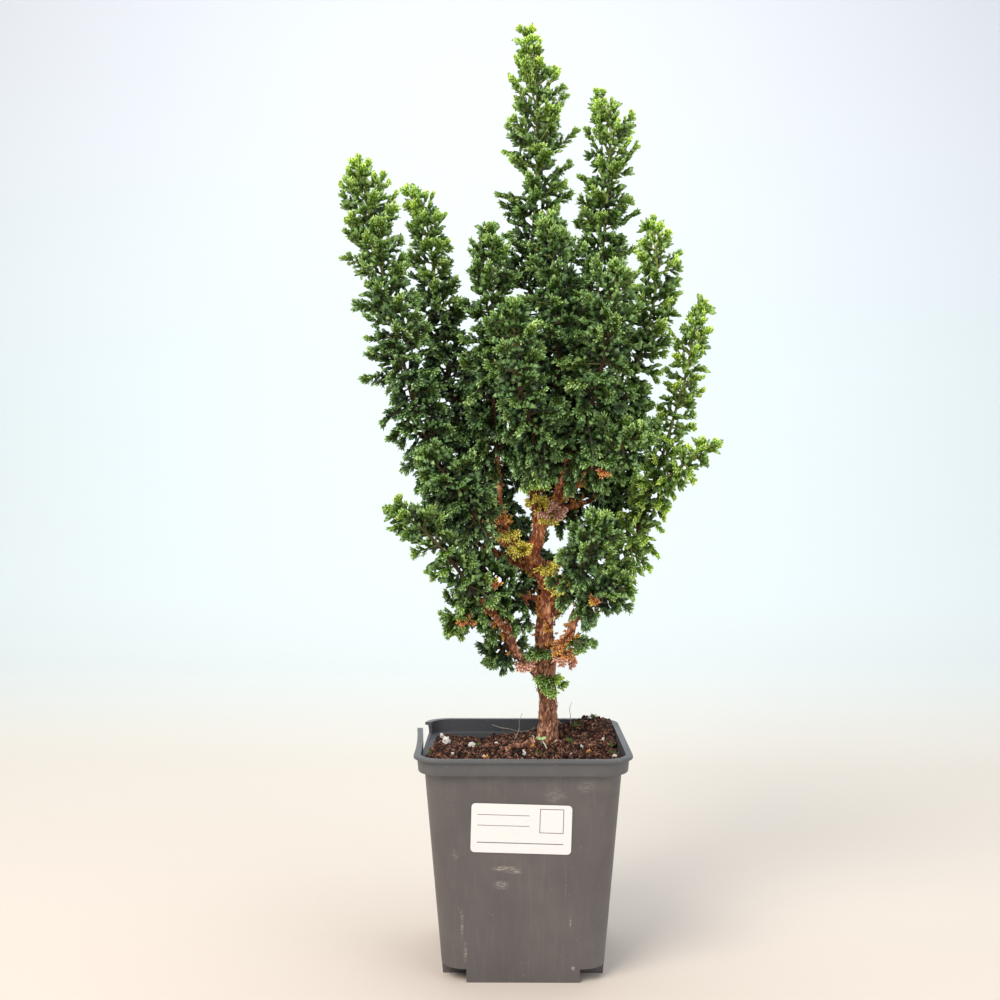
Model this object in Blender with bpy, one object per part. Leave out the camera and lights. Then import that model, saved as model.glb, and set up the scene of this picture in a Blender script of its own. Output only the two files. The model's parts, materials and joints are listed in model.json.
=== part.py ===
"""A hinoki cypress bonsai about 0.5 m high, standing in a square plastic nursery pot.

The origin is the middle of the pot's underside and +Z is up. The front of the pot, with the
label, faces -Y. Sizes are in millimetres times MM, so every mesh comes out in metres.
"""

import math
import random
from typing import NamedTuple

import bmesh
import bpy
from mathutils import Matrix, Vector, noise

MM = 0.001
GAP = 0.3 * MM
SEED = 41

# Pot: a standard 110 mm square nursery pot with a stepped band under its lip
POT_HEIGHT = 115 * MM
POT_WALL = 1.5 * MM
BASE_HALF = 41 * MM
BASE_CORNER = 12 * MM
LEDGE_Z = 106.2 * MM
LEDGE_RISE = 0.6 * MM
BODY_TOP_HALF = 49.7 * MM
BAND_HALF = 52.8 * MM
BAND_TOP_HALF = 53.3 * MM
LIP_HALF = 55 * MM
LIP_THICK = 1.5 * MM
LIP_CORNER = 14 * MM
FOOT_HALF = 28.5 * MM
FOOT_RAISE = 7 * MM
DRAIN_RADIUS = 4 * MM
DRAIN_PLACE = 33.5 * MM
CORNER_STEPS = 5

# The band and lip are torn at the left: a stretch is missing and the strip before it springs out
TEAR_FRONT = -30 * MM
TEAR_BACK = 42 * MM
STRIP_END = 28 * MM
STRIP_SPRING = 3.4 * MM
STRIP_FOOT_Z = 109 * MM

# Label: a 50 x 25 mm paper label, a little askew on the front wall
LABEL_SIZE = (50 * MM, 25 * MM)
LABEL_CORNER = 2 * MM
LABEL_THICK = 0.5 * MM
LABEL_PLACE = (-1 * MM, 79.4 * MM)
LABEL_TURN = math.radians(-1.6)

# Soil: its top is uneven, heaped at the back right and low at the back left
SOIL_LEVEL = 109.4 * MM
SOIL_HEAP = (40 * MM, 33 * MM, 19 * MM, 9.5 * MM)
SOIL_DIP = (-26 * MM, 34 * MM, 24 * MM, -6 * MM)
SOIL_FRONT_RISE = 1.6 * MM
SOIL_LUMP = 1.3 * MM
SOIL_WALL_Z = 107.9 * MM
SOIL_BAND_Z = 109.3 * MM
SOIL_FILLS_BAND = 109.6 * MM
SOIL_RINGS = 6
SOIL_CORNER_STEPS = 4
SOIL_SIDE_STEPS = 4
CRUMB_COUNT = 11

# Seedling: a weed with two round leaves, in front of the trunk
SEEDLING_ROOT = (13 * MM, -5 * MM)
SEEDLING_RISE = (-3 * MM, 0.5 * MM, 6.5 * MM)
SEEDLING_RADIUS = 0.5 * MM
SEEDLING_LEAF = 1.9 * MM
SEEDLING_DEPTH = 3 * MM

# Wood: the trunk's centre line with its radius at each point, in millimetres
TRUNK = [
    (14, 15.5, 88, 4.6), (14, 15.5, 102, 6.0), (14, 15, 109, 6.6), (14, 14, 117, 5.4),
    (14.2, 13, 133, 5.0), (13, 12, 144, 5.3), (12.5, 12, 158, 5.6), (12.5, 12, 176, 4.8),
    (15.2, 13, 188, 4.8), (13.6, 13, 197, 4.7), (8.7, 12, 205, 4.5), (5, 11, 213, 4.6),
    (8, 11, 220, 4.0), (10.2, 12, 230, 3.8), (8.7, 12, 238, 3.6), (6.5, 13, 249, 3.3),
    (8.5, 13, 258, 2.9), (10, 13, 266.5, 2.4),
]

# Bare branches: each starts inside the wood that carries it and ends just short of a leafy stem
BRANCHES = [
    [(12, 12, 145, 3.2), (5.4, 8, 151.7, 3.0), (-2.2, 4, 159.2, 2.8), (-6, 2, 167, 2.6), (-8.7, 0, 176, 2.3)],
    [(13, 11, 153, 3.2), (18.3, 6, 158, 3.0), (25, 2, 168.5, 2.7), (27.2, 2, 178, 2.4), (29, 1.5, 184, 2.0)],
    [(27, 2, 177, 2.2), (35, 6, 183.5, 2.1), (45, 9.6, 192, 1.9)],
    [(-7.6, 0.8, 172, 2.1), (-13, -8, 179, 2.0), (-22.4, -11.8, 190.3, 1.8)],
    [(6, 11, 212, 3.2), (-3, 8, 216, 3.0), (-14, 3, 224, 2.7), (-27.4, -1.8, 235.2, 2.2)],
    [(-13, 3, 223, 2.2), (-20, 8, 241, 2.0), (-28.8, 10, 266.4, 1.8)],
    [(-5, 7, 217, 2.2), (-11, -1, 234, 2.0), (-13, -4, 250, 1.8), (-13.5, -5, 267.5, 1.7)],
    [(-14, 3, 224, 2.1), (-17, -6, 228, 1.9), (-22, -13.2, 231.4, 1.7)],
    [(10, 12, 203, 2.4), (-4, 17, 208, 2.1), (-22, 19.8, 216.4, 1.8)],
    [(14, 12, 188, 2.0), (6, 10, 189, 1.8), (-0.2, 8.3, 189.8, 1.7)],
    [(6.5, 13, 249, 2.2), (14, 17, 262, 2.0), (23.3, 19.8, 274.2, 1.8)],
    [(9, 12, 236, 2.6), (18, 8, 243, 2.4), (28, 5, 250, 2.1), (38.4, 2.3, 265.1, 1.8)],
    [(8.5, 13, 257, 2.0), (10, 2, 266, 1.8), (12.8, -7.3, 273.2, 1.7)],
    [(18, 8, 243, 2.0), (21.5, -2, 256, 1.8), (25.7, -9.4, 268.2, 1.7)],
    [(6.5, 13, 247, 2.0), (6, -1, 252, 1.8), (8.7, -13.2, 261.3, 1.7)],
    [(27, 5, 249.5, 1.8), (30, -5, 253, 1.7), (32.5, -11.4, 257.4, 1.6)],
    [(13.6, 13, 195, 2.2), (20, 4, 197, 1.9), (25.6, -5.2, 199.6, 1.7)],
    [(14, 13, 187, 2.2), (26, 18, 198, 2.0), (37.3, 19.9, 208.3, 1.8)],
    [(5, 12, 213, 2.2), (-2, 23, 218, 2.0), (-9.6, 34.3, 224.5, 1.8)],
    [(10, 13, 229, 2.2), (14, 23, 231, 2.0), (19.2, 32.5, 234.3, 1.8)],
    [(9, 13, 238, 2.0), (25, 25, 238, 1.9), (39.3, 33.6, 241.6, 1.8)],
    [(12.5, 14, 177, 2.2), (11, 23, 183, 2.0), (10, 29.4, 189.4, 1.8)],
]

# Surface root: where it runs over the soil, as x, y, height above the soil and radius
ROOT_RUN = [
    (12, 12, 0.5, 2.6), (7, 4, 0.7, 1.9), (1, -5, 0.6, 1.5), (-6, -12, 0.5, 1.2), (-13, -18, -0.4, 0.9),
]


class Leafy(NamedTuple):
    """One leafy stem: its plume half-width at root, middle and tip, and its centre lines."""

    widths: tuple
    lines: list


# Leafy stems, in millimetres. A second line is a shoot that grows from the first
LEAFY_STEMS = {
    "leafy_outer_left": Leafy((13, 13, 8), [[
        (-28, -2, 236), (-40, -8, 254), (-50, -12, 274), (-58, -14, 297), (-64, -14, 323),
        (-69, -12, 347), (-75, -10, 367), (-80, -8, 389), (-84, -6, 409), (-88, -5, 421)]]),
    "leafy_inner_left": Leafy((12, 11, 7), [[
        (-29, 10, 267), (-36, 12, 291), (-41, 13, 318), (-44, 14, 343), (-48, 15, 365),
        (-50, 15, 381), (-53, 14, 396), (-58, 13, 405), (-64, 12, 411)]]),
    "leafy_top": Leafy((18, 17, 7), [[
        (10, 13, 267), (7, 14, 294), (4, 16, 324), (4, 17, 352), (5, 17, 379), (7, 16, 401),
        (8, 15, 422), (8, 14, 444), (8, 13, 462), (5, 12, 481), (2, 12, 495)]]),
    "leafy_right_top": Leafy((16, 17, 8), [[
        (24, 20, 275), (31, 23, 303), (37, 25, 331), (42, 26, 359), (45, 26, 383),
        (47, 25, 405), (48, 24, 427), (49, 23, 446), (46, 22, 458), (40, 21, 463)]]),
    "leafy_right": Leafy((13, 15, 7), [[
        (39, 2, 266), (51, 0, 288), (60, -2, 311), (67, -3, 335), (71, -3, 356), (71, -3, 372),
        (69, -3, 391)]]),
    "leafy_far_right": Leafy((12, 11, 6), [
        [(46, 10, 193), (56, 12, 209), (65, 12, 231), (72, 12, 253), (78, 11, 272),
         (83, 10, 290), (88, 9, 307), (91, 8, 323), (94, 8, 338), (97, 8, 346)],
        [(71, 10, 246), (80, 1, 256), (88, -4, 263), (95, -7, 268), (99, -8, 270)]]),
    "leafy_low_left": Leafy((11, 12, 8), [[
        (-23, -12, 191), (-33, -15, 205), (-42, -18, 217), (-53, -20, 228), (-63, -20, 235),
        (-70, -19, 238)]]),
    "leafy_hanging_left": Leafy((11, 13, 9), [[
        (-9.1, 0, 177.3), (-13, 2, 183), (-22, 4, 187), (-30, 2, 184), (-35, 0, 178), (-37, -2, 171)]]),
    "leafy_hanging_low": Leafy((9, 10, 8), [[
        (-7, 4.6, 163), (-10, 8, 160), (-13, 8, 156), (-15, 7, 152)]]),
    "leafy_mid_left": Leafy((14, 14, 11), [[
        (-23, -14, 232), (-33, -22, 247), (-42, -28, 258), (-50, -31, 266)]]),
    "leafy_back_left": Leafy((14, 14, 11), [[
        (-23, 20, 217), (-36, 30, 231), (-46, 36, 243), (-54, 38, 253)]]),
    "leafy_inner_low": Leafy((12, 13, 10), [[
        (-1, 8, 190), (-10, 5, 194), (-19, 1, 204), (-24, -1, 213)]]),
    "leafy_left_top": Leafy((14, 15, 9), [[
        (-13.5, -5, 268.5), (-15, -7, 298), (-15, -8, 324), (-16, -10, 347), (-17, -10, 368),
        (-18, -8, 386)]]),
    "leafy_front_top": Leafy((15, 16, 9), [[
        (13, -8, 274), (17, -16, 300), (19, -20, 325), (18, -18, 351), (15, -14, 373),
        (13, -9, 392)]]),
    "leafy_front_right": Leafy((15, 17, 12), [[
        (26, -10, 269), (35, -22, 291), (41, -30, 314), (45, -31, 337), (47, -25, 353),
        (49, -18, 363)]]),
    "leafy_front": Leafy((14, 16, 11), [[
        (9, -14, 262), (4, -28, 281), (-2, -37, 301), (-4, -38, 323), (-5, -31, 342)]]),
    "leafy_right_mid": Leafy((13, 15, 11), [[
        (33, -12, 258), (46, -22, 266), (56, -27, 273), (63, -28, 278)]]),
    "leafy_low_right": Leafy((11, 12, 10), [[
        (29.2, 1.2, 185.2), (41, -6, 192), (51, -11, 195), (57, -13, 198)]]),
    "leafy_low_front": Leafy((11, 13, 11), [[
        (26, -6, 200), (32, -18, 213), (37, -26, 226), (40, -29, 235)]]),
    "leafy_low_back": Leafy((12, 14, 11), [[
        (38, 20, 209), (47, 30, 228), (56, 36, 241), (62, 39, 251)]]),
    "leafy_back_tall": Leafy((14, 16, 10), [[
        (20, 34, 235), (28, 48, 268), (30, 56, 305), (29, 58, 345), (27, 56, 372)]]),
    "leafy_back_inner": Leafy((13, 15, 11), [[
        (-10, 35, 225), (-18, 48, 258), (-20, 55, 295), (-18, 56, 330)]]),
    "leafy_back_right": Leafy((13, 14, 10), [[
        (40, 34, 242), (56, 46, 262), (66, 52, 288), (67, 52, 308)]]),
    "leafy_back_low": Leafy((11, 13, 11), [[
        (10, 30, 190), (8, 43, 201), (4, 54, 216), (0, 58, 230)]]),
}

# Sprays and fingers: blunt green rods that stand out of a slim core
CORE_SHARE = 0.38
CORE_STEP = 18 * MM
SPRAY_STEP = 4.65 * MM
LEAST_SPRAYS = 9
SPRAY_ROOT = 2.2 * MM
SPRAY_TIP = 2.9 * MM
END_SPRAY_TIP = 1.8 * MM
SPRAY_LENGTHS = (1.0, 0.78, 0.94, 0.68, 0.88)
FINGER_LENGTH = 8 * MM
FINGER_ROOT = 1.7 * MM
FINGER_TIP = 1.4 * MM
FINGERS_ABOVE = 0.8
END_REACH = 9 * MM
TUFT_ROOT = 1.4 * MM
TUFT_TIP = 1.1 * MM
LOW_LEAN = math.radians(-22)
TOP_LEAN = math.radians(52)
GOLDEN_TURN = math.radians(137.5)
SHORTER = (1.0, 0.82, 0.66)


class Tuft(NamedTuple):
    """A short spray that grows straight from bark: its root, way, length and fingers."""

    root: tuple
    way: tuple
    length: float
    fingers: int


# Tufts on the wood, in millimetres. Each root lies just clear of the bark
TUFTS = {
    "sprig_trunk_low": Tuft((15.5, 6.6, 141.5), (0.15, -0.9, 0.1), 11, 6),
    "sprig_trunk_mid": Tuft((11.5, 6.1, 163), (-0.1, -0.9, 0.3), 9, 4),
    "sprig_right": Tuft((27, -0.2, 167.2), (0.85, -0.4, -0.25), 12, 5),
    "yellow_fan_left": Tuft((0.4, 5.2, 215), (-0.35, -0.9, 0.35), 10, 5),
    "yellow_fan_top": Tuft((8.2, 7.8, 240), (-0.1, -0.9, 0.35), 9, 4),
    "yellow_fan_right": Tuft((18.9, 9.2, 193.5), (0.7, -0.8, 0.1), 8, 4),
    "dead_spray_top": Tuft((13.2, 7.9, 236.5), (0.55, -0.8, 0.2), 13, 5),
    "dead_spray_low": Tuft((20.4, 3.0, 157.2), (0.5, -0.8, -0.1), 9, 4),
    "dead_spray_left": Tuft((0.4, 2.8, 155.2), (-0.3, -0.9, -0.2), 7, 3),
}

# Colours as linear red, green and blue, with roughness
COLOURS = {
    "pot": ((0.12, 0.117, 0.116), 0.5),
    "label": ((0.85, 0.85, 0.85), 0.6),
    "soil": ((0.07, 0.03, 0.016), 0.95),
    "wood": ((0.23, 0.09, 0.045), 0.85),
    "leafy": ((0.04, 0.13, 0.025), 0.6),
    "sprig": ((0.09, 0.22, 0.04), 0.6),
    "yellow": ((0.55, 0.45, 0.05), 0.65),
    "dead": ((0.38, 0.16, 0.08), 0.8),
    "seedling": ((0.35, 0.5, 0.2), 0.6),
}


def clear_scene():
    """Remove the objects that a new Blender file starts with."""
    for old in list(bpy.data.objects):
        bpy.data.objects.remove(old, do_unlink=True)


def new_collection(name):
    """A collection linked to the scene."""
    made = bpy.data.collections.new(name)
    bpy.context.scene.collection.children.link(made)
    return made


def add_object(name, mesh, group):
    """Put a mesh in the scene as a named object."""
    thing = bpy.data.objects.new(name, mesh)
    group.objects.link(thing)
    return thing


def object_of(name, bm, group):
    """Turn a bmesh into a named object with its faces pointing out."""
    bmesh.ops.recalc_face_normals(bm, faces=bm.faces)
    mesh = bpy.data.meshes.new(name)
    bm.to_mesh(mesh)
    bm.free()
    return add_object(name, mesh, group)


def paint(thing, kind):
    """Give an object a Principled material of its kind's colour."""
    colour, roughness = COLOURS[kind]
    surface = bpy.data.materials.new(thing.name)
    surface.use_nodes = True
    shader = surface.node_tree.nodes["Principled BSDF"]
    shader.inputs["Base Color"].default_value = (*colour, 1)
    shader.inputs["Roughness"].default_value = roughness
    shader.inputs["Metallic"].default_value = 0
    thing.data.materials.clear()
    thing.data.materials.append(surface)


def as_cutter(thing):
    """Mark an object as a cutter, which isn't part of the model."""
    thing.hide_render = True
    thing.display_type = "WIRE"
    return thing


def apply_modifiers(thing):
    """Replace an object's mesh by its evaluated one and remove its modifiers."""
    evaluated = thing.evaluated_get(bpy.context.evaluated_depsgraph_get())
    mesh = bpy.data.meshes.new_from_object(evaluated)
    thing.modifiers.clear()
    thing.data = mesh


def is_closed(mesh):
    """Whether every edge of a mesh has two faces, and the mesh has any."""
    bm = bmesh.new()
    bm.from_mesh(mesh)
    closed = len(bm.faces) > 0 and all(edge.is_manifold for edge in bm.edges)
    bm.free()
    return closed


def combine(thing, operation, cutters):
    """Apply one Boolean with each cutter in turn."""
    for cutter in cutters:
        step = thing.modifiers.new("combine", "BOOLEAN")
        step.operation = operation
        step.object = cutter
        step.solver = "EXACT"
    apply_modifiers(thing)


def keep_largest(thing):
    """Drop loose scraps: keep the connected piece with the most faces."""
    bm = bmesh.new()
    bm.from_mesh(thing.data)
    unseen = set(bm.verts)
    pieces = []
    while unseen:
        edge_of_piece = [unseen.pop()]
        piece = set(edge_of_piece)
        while edge_of_piece:
            for link in edge_of_piece.pop().link_edges:
                for vert in link.verts:
                    if vert in unseen:
                        unseen.discard(vert)
                        piece.add(vert)
                        edge_of_piece.append(vert)
        pieces.append(piece)
    pieces.sort(key=len, reverse=True)
    loose = [vert for piece in pieces[1:] for vert in piece]
    bmesh.ops.delete(bm, geom=loose, context="VERTS")
    bm.to_mesh(thing.data)
    bm.free()


def fuse(thing, repeats):
    """Join a collection of closed repeats to the object they grow from, then remove them."""
    step = thing.modifiers.new("fuse", "BOOLEAN")
    step.operation = "UNION"
    step.operand_type = "COLLECTION"
    step.collection = repeats
    step.solver = "EXACT"
    evaluated = thing.evaluated_get(bpy.context.evaluated_depsgraph_get())
    if not is_closed(evaluated.to_mesh()):
        step.solver = "MANIFOLD"
    apply_modifiers(thing)
    for used in list(repeats.objects):
        bpy.data.objects.remove(used, do_unlink=True)
    bpy.data.collections.remove(repeats)
    keep_largest(thing)


def rounded_square(half, corner, corner_steps, side_steps):
    """Points of a square with rounded corners, anticlockwise from its right side."""
    points = []
    for quarter in range(4):
        turn = Matrix.Rotation(quarter * math.pi / 2, 2)
        middle = Vector((half - corner, half - corner))
        for step in range(corner_steps + 1):
            angle = step / corner_steps * math.pi / 2
            points.append(turn @ (middle + corner * Vector((math.cos(angle), math.sin(angle)))))
        for step in range(1, side_steps):
            along = 1 - 2 * step / side_steps
            points.append(turn @ Vector((along * (half - corner), half)))
    return points


def loft(bm, rings, closed=True):
    """Skin rings of equal point counts, and cap the first and the last."""
    skins = [[bm.verts.new(point) for point in ring] for ring in rings]
    count = len(skins[0])
    for low, high in zip(skins, skins[1:]):
        for i in range(count):
            j = (i + 1) % count
            bm.faces.new((low[i], low[j], high[j], high[i]))
    if closed:
        bm.faces.new(reversed(skins[0]))
        bm.faces.new(skins[-1])
    return skins


def square_loft(name, profile, group):
    """A solid through rounded squares, each given as half-width, corner radius and height."""
    bm = bmesh.new()
    rings = []
    for half, corner, z in profile:
        outline = rounded_square(half, corner, CORNER_STEPS, 1)
        rings.append([(point.x, point.y, z) for point in outline])
    loft(bm, rings)
    return object_of(name, bm, group)


def box(name, low, high, group):
    """A box between two corners."""
    bm = bmesh.new()
    low, high = Vector(low), Vector(high)
    middle = Matrix.Translation((low + high) / 2)
    bmesh.ops.create_cube(bm, size=1, matrix=middle @ Matrix.Diagonal((*(high - low), 1)))
    return as_cutter(object_of(name, bm, group))


def body_half(z):
    """Half-width of the pot's outside at a height on its tapered wall."""
    return BASE_HALF + (BODY_TOP_HALF - BASE_HALF) * z / LEDGE_Z


def inner_half(z):
    """Half-width of the space inside the pot at a height below the ledge."""
    share = (z - POT_WALL) / (LEDGE_Z + POT_WALL - 0.2 * MM - POT_WALL)
    low = body_half(POT_WALL) - POT_WALL
    return low + (BODY_TOP_HALF - POT_WALL - low) * share


def corner_boxes(name, inner, top, group):
    """Four boxes that take in the pot's raised floor corners."""
    boxes = []
    for index, (side_x, side_y) in enumerate(((1, 1), (-1, 1), (-1, -1), (1, -1))):
        low = (min(side_x * inner, side_x * LIP_HALF), min(side_y * inner, side_y * LIP_HALF), -POT_WALL)
        high = (max(side_x * inner, side_x * LIP_HALF), max(side_y * inner, side_y * LIP_HALF), top)
        boxes.append(box(f"{name}_{index}", low, high, group))
    return boxes


def pot_inside(name, clearance, group):
    """The space inside the pot above its floor, drawn in by a clearance."""
    inset = POT_WALL + clearance
    floor = POT_WALL + clearance
    ledge = LEDGE_Z + inset
    return square_loft(name, [
        (body_half(floor) - inset, BASE_CORNER - inset, floor),
        (body_half(LEDGE_Z) - inset, BASE_CORNER + 0.9 * MM - inset, ledge - 0.2 * MM),
        (BAND_HALF - inset, LIP_CORNER - 0.4 * MM - inset, ledge + LEDGE_RISE),
        (BAND_TOP_HALF - inset, LIP_CORNER - 0.4 * MM - inset, POT_HEIGHT + 5 * MM),
    ], group)


def sprung_strip(name, group):
    """The torn strip of band and lip: joined at its front end, it bends out towards the back."""
    bm = bmesh.new()
    stations = 7
    rings = []
    for station in range(stations):
        t = station / (stations - 1)
        y = TEAR_FRONT - 2 * MM + (STRIP_END - TEAR_FRONT + 2 * MM) * t
        out = STRIP_SPRING * t ** 1.6
        section = [
            (BAND_HALF - POT_WALL + 0.4 * MM, STRIP_FOOT_Z),
            (BAND_HALF + 0.3 * MM, STRIP_FOOT_Z),
            (BAND_TOP_HALF - 0.1 * MM, POT_HEIGHT - LIP_THICK),
            (LIP_HALF - 0.05 * MM, POT_HEIGHT - LIP_THICK),
            (LIP_HALF - 0.05 * MM, POT_HEIGHT - 0.05 * MM),
            (BAND_TOP_HALF - POT_WALL + 0.05 * MM, POT_HEIGHT - 0.05 * MM),
        ]
        rings.append([(-(across + out), y, z - 0.4 * MM * t) for across, z in section])
    loft(bm, rings)
    return as_cutter(object_of(name, bm, group))


def make_pot(group, cutters):
    """Pot: a lofted outside with its inside cut out, raised floor corners, drain holes and a torn rim."""
    pot = square_loft("pot", [
        (BASE_HALF, BASE_CORNER, 0),
        (BODY_TOP_HALF, BASE_CORNER + 0.9 * MM, LEDGE_Z),
        (BAND_HALF, LIP_CORNER - 0.4 * MM, LEDGE_Z + LEDGE_RISE),
        (BAND_TOP_HALF, LIP_CORNER - 0.4 * MM, POT_HEIGHT - LIP_THICK - 0.05 * MM),
        (LIP_HALF, LIP_CORNER, POT_HEIGHT - LIP_THICK),
        (LIP_HALF, LIP_CORNER, POT_HEIGHT),
    ], group)
    inside = as_cutter(pot_inside("pot_inside_cut", 0, cutters))
    combine(inside, "DIFFERENCE", corner_boxes(
        "floor_corner_keep", FOOT_HALF - POT_WALL, FOOT_RAISE + POT_WALL, cutters))
    cuts = [inside] + corner_boxes("foot_cut", FOOT_HALF, FOOT_RAISE, cutters)
    cuts.append(box(
        "tear_cut",
        (-LIP_HALF - 5 * MM, TEAR_FRONT, LEDGE_Z + POT_WALL + LEDGE_RISE + 0.15 * MM),
        (-BAND_HALF + POT_WALL + 1.5 * MM, TEAR_BACK, POT_HEIGHT + 5 * MM),
        cutters))
    for side_x in (-1, 1):
        for side_y in (-1, 1):
            bm = bmesh.new()
            place = Matrix.Translation((side_x * DRAIN_PLACE, side_y * DRAIN_PLACE, FOOT_RAISE))
            bmesh.ops.create_cone(
                bm, cap_ends=True, segments=10, radius1=DRAIN_RADIUS, radius2=DRAIN_RADIUS,
                depth=6 * MM, matrix=place)
            cuts.append(as_cutter(object_of(f"drain_cut_{side_x}_{side_y}", bm, cutters)))
    combine(pot, "DIFFERENCE", cuts)
    combine(pot, "UNION", [sprung_strip("sprung_strip", cutters)])
    paint(pot, "pot")
    return pot


def make_label(group):
    """Label: a rounded rectangle of paper that lies on the tapered front wall."""
    width, height = LABEL_SIZE
    outline = []
    for quarter in range(4):
        sign_x, sign_y = ((1, 1), (-1, 1), (-1, -1), (1, -1))[quarter]
        middle = Vector((sign_x * (width / 2 - LABEL_CORNER), sign_y * (height / 2 - LABEL_CORNER)))
        for step in range(4):
            angle = (quarter + step / 3) * math.pi / 2
            outline.append(middle + LABEL_CORNER * Vector((math.cos(angle), math.sin(angle))))
    flat = bpy.data.curves.new("label", "CURVE")
    flat.dimensions = "2D"
    flat.fill_mode = "BOTH"
    flat.extrude = LABEL_THICK / 2
    spline = flat.splines.new("POLY")
    spline.points.add(len(outline) - 1)
    for point, place in zip(spline.points, outline):
        point.co = (place.x, place.y, 0, 1)
    spline.use_cyclic_u = True
    taper = math.atan2(BODY_TOP_HALF - BASE_HALF, LEDGE_Z)
    x, z = LABEL_PLACE
    off_wall = (GAP + LABEL_THICK / 2) / math.cos(taper)
    place = Matrix.Translation((x, -body_half(z) - off_wall, z))
    turn = Matrix.Rotation(math.pi / 2 + taper, 4, "X") @ Matrix.Rotation(LABEL_TURN, 4, "Z")
    guide = add_object("label_outline", flat, group)
    guide.matrix_world = place @ turn
    label = mesh_of_curve("label", guide, group)
    paint(label, "label")
    return label


def mesh_of_curve(name, curve, group):
    """Replace a curve object by a closed mesh object in the same place."""
    bpy.context.view_layer.update()
    evaluated = curve.evaluated_get(bpy.context.evaluated_depsgraph_get())
    mesh = bpy.data.meshes.new_from_object(evaluated)
    mesh.transform(curve.matrix_world)
    bm = bmesh.new()
    bm.from_mesh(mesh)
    bmesh.ops.remove_doubles(bm, verts=bm.verts, dist=0.01 * MM)
    bpy.data.objects.remove(curve, do_unlink=True)
    bpy.data.meshes.remove(mesh)
    return object_of(name, bm, group)


def tube(name, points, radii, bevel_resolution, group):
    """A round tube through points, with a radius at each."""
    line = bpy.data.curves.new(name, "CURVE")
    line.dimensions = "3D"
    line.bevel_depth = MM
    line.bevel_resolution = bevel_resolution
    line.use_fill_caps = True
    spline = line.splines.new("POLY")
    spline.points.add(len(points) - 1)
    for knot, place, radius in zip(spline.points, points, radii):
        knot.co = (*place, 1)
        knot.radius = radius / MM
    return mesh_of_curve(name, add_object(name + "_line", line, group), group)


def bump(x, y, place):
    """Height of a round heap or dip: its x, y, spread and height."""
    middle_x, middle_y, spread, height = place
    reach = ((x - middle_x) ** 2 + (y - middle_y) ** 2) / spread ** 2
    return height * math.exp(-reach)


def soil_height(x, y):
    """Height of the soil's top."""
    level = SOIL_LEVEL + bump(x, y, SOIL_HEAP) + bump(x, y, SOIL_DIP)
    level += SOIL_FRONT_RISE * max(0.0, -y / BODY_TOP_HALF)
    lumps = noise.noise(Vector((x, y, 0)) / (9 * MM)) + 0.6 * noise.noise(Vector((x, y, 9)) / (4 * MM))
    return level + SOIL_LUMP * lumps


def soil_edge_rings():
    """The soil's rings up its side: it fills the band too wherever its top is above the ledge."""
    inset = POT_WALL + GAP
    low, ledge, top = [], [], []
    rings = [low, [], ledge, top]
    floor = POT_WALL + GAP
    outlines = [
        rounded_square(half, corner, SOIL_CORNER_STEPS, SOIL_SIDE_STEPS)
        for half, corner in (
            (inner_half(floor) - GAP, BASE_CORNER - inset),
            (inner_half(100 * MM) - GAP, BASE_CORNER + 1.2 * MM - inset),
            (BAND_HALF - inset - 0.1 * MM, LIP_CORNER - inset),
        )
    ]
    for foot, wall, band in zip(*outlines):
        height = soil_height(band.x, band.y)
        fill = min(1.0, max(0.0, (height - SOIL_FILLS_BAND) / (1.2 * MM)))
        edge = wall.lerp(band, fill)
        side = SOIL_WALL_Z if fill > 0 else min(SOIL_WALL_Z, height - 0.6 * MM)
        rise = min(1.0, 2 * fill) * (SOIL_BAND_Z - SOIL_WALL_Z) if fill > 0 else 0.3 * MM
        height = max(height, SOIL_BAND_Z + 0.6 * MM) if fill > 0 else height
        rings[0].append((foot.x, foot.y, floor))
        rings[1].append((wall.x, wall.y, side))
        ledge.append((edge.x, edge.y, side + rise))
        top.append((edge.x, edge.y, height))
    return rings


def make_soil(group, cutters, wood_hole):
    """Soil: it fills the pot, with lumps and crumbs on its top and plain holes for the stems."""
    draw = random.Random(SEED)
    bm = bmesh.new()
    rings = soil_edge_rings()
    edge = rings[-1]
    for ring in range(1, SOIL_RINGS):
        share = 1 - (ring / SOIL_RINGS) ** 1.1
        points = []
        for x, y, z in edge:
            inward = soil_height(x * share, y * share)
            near_edge = max(0.0, 1 - ring / 2)
            points.append((x * share, y * share, inward + (z - inward) * near_edge))
        rings.append(points)
    loft(bm, rings)
    soil = object_of("soil", bm, group)
    crumbs = new_collection("crumbs")
    for index in range(CRUMB_COUNT):
        x = draw.uniform(-0.8, 0.8) * BODY_TOP_HALF
        y = draw.uniform(-0.8, 0.8) * BODY_TOP_HALF
        radius = draw.uniform(1.6, 2.9) * MM
        bm = bmesh.new()
        squash = Matrix.Diagonal((1, draw.uniform(0.7, 1), draw.uniform(0.6, 0.8), 1))
        place = Matrix.Translation((x, y, soil_height(x, y) + 0.1 * radius))
        turn = Matrix.Rotation(draw.uniform(0, math.tau), 4, "Z")
        bmesh.ops.create_icosphere(bm, subdivisions=1, radius=radius, matrix=place @ turn @ squash)
        object_of(f"crumb_{index}", bm, crumbs)
    fuse(soil, crumbs)
    holes = corner_boxes(
        "soil_corner_cut", FOOT_HALF - POT_WALL - GAP, FOOT_RAISE + POT_WALL + GAP, cutters)
    holes += wood_hole
    x, y = SEEDLING_ROOT
    foot = Vector((x, y, soil_height(x, y) - SEEDLING_DEPTH - GAP))
    hole = tube(
        "seedling_hole", [foot, foot + Vector((0, 0, 3 * SEEDLING_DEPTH))],
        [SEEDLING_RADIUS + GAP] * 2, 2, cutters)
    holes.append(as_cutter(hole))
    combine(soil, "DIFFERENCE", holes)
    keep_largest(soil)
    paint(soil, "soil")
    return soil


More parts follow.
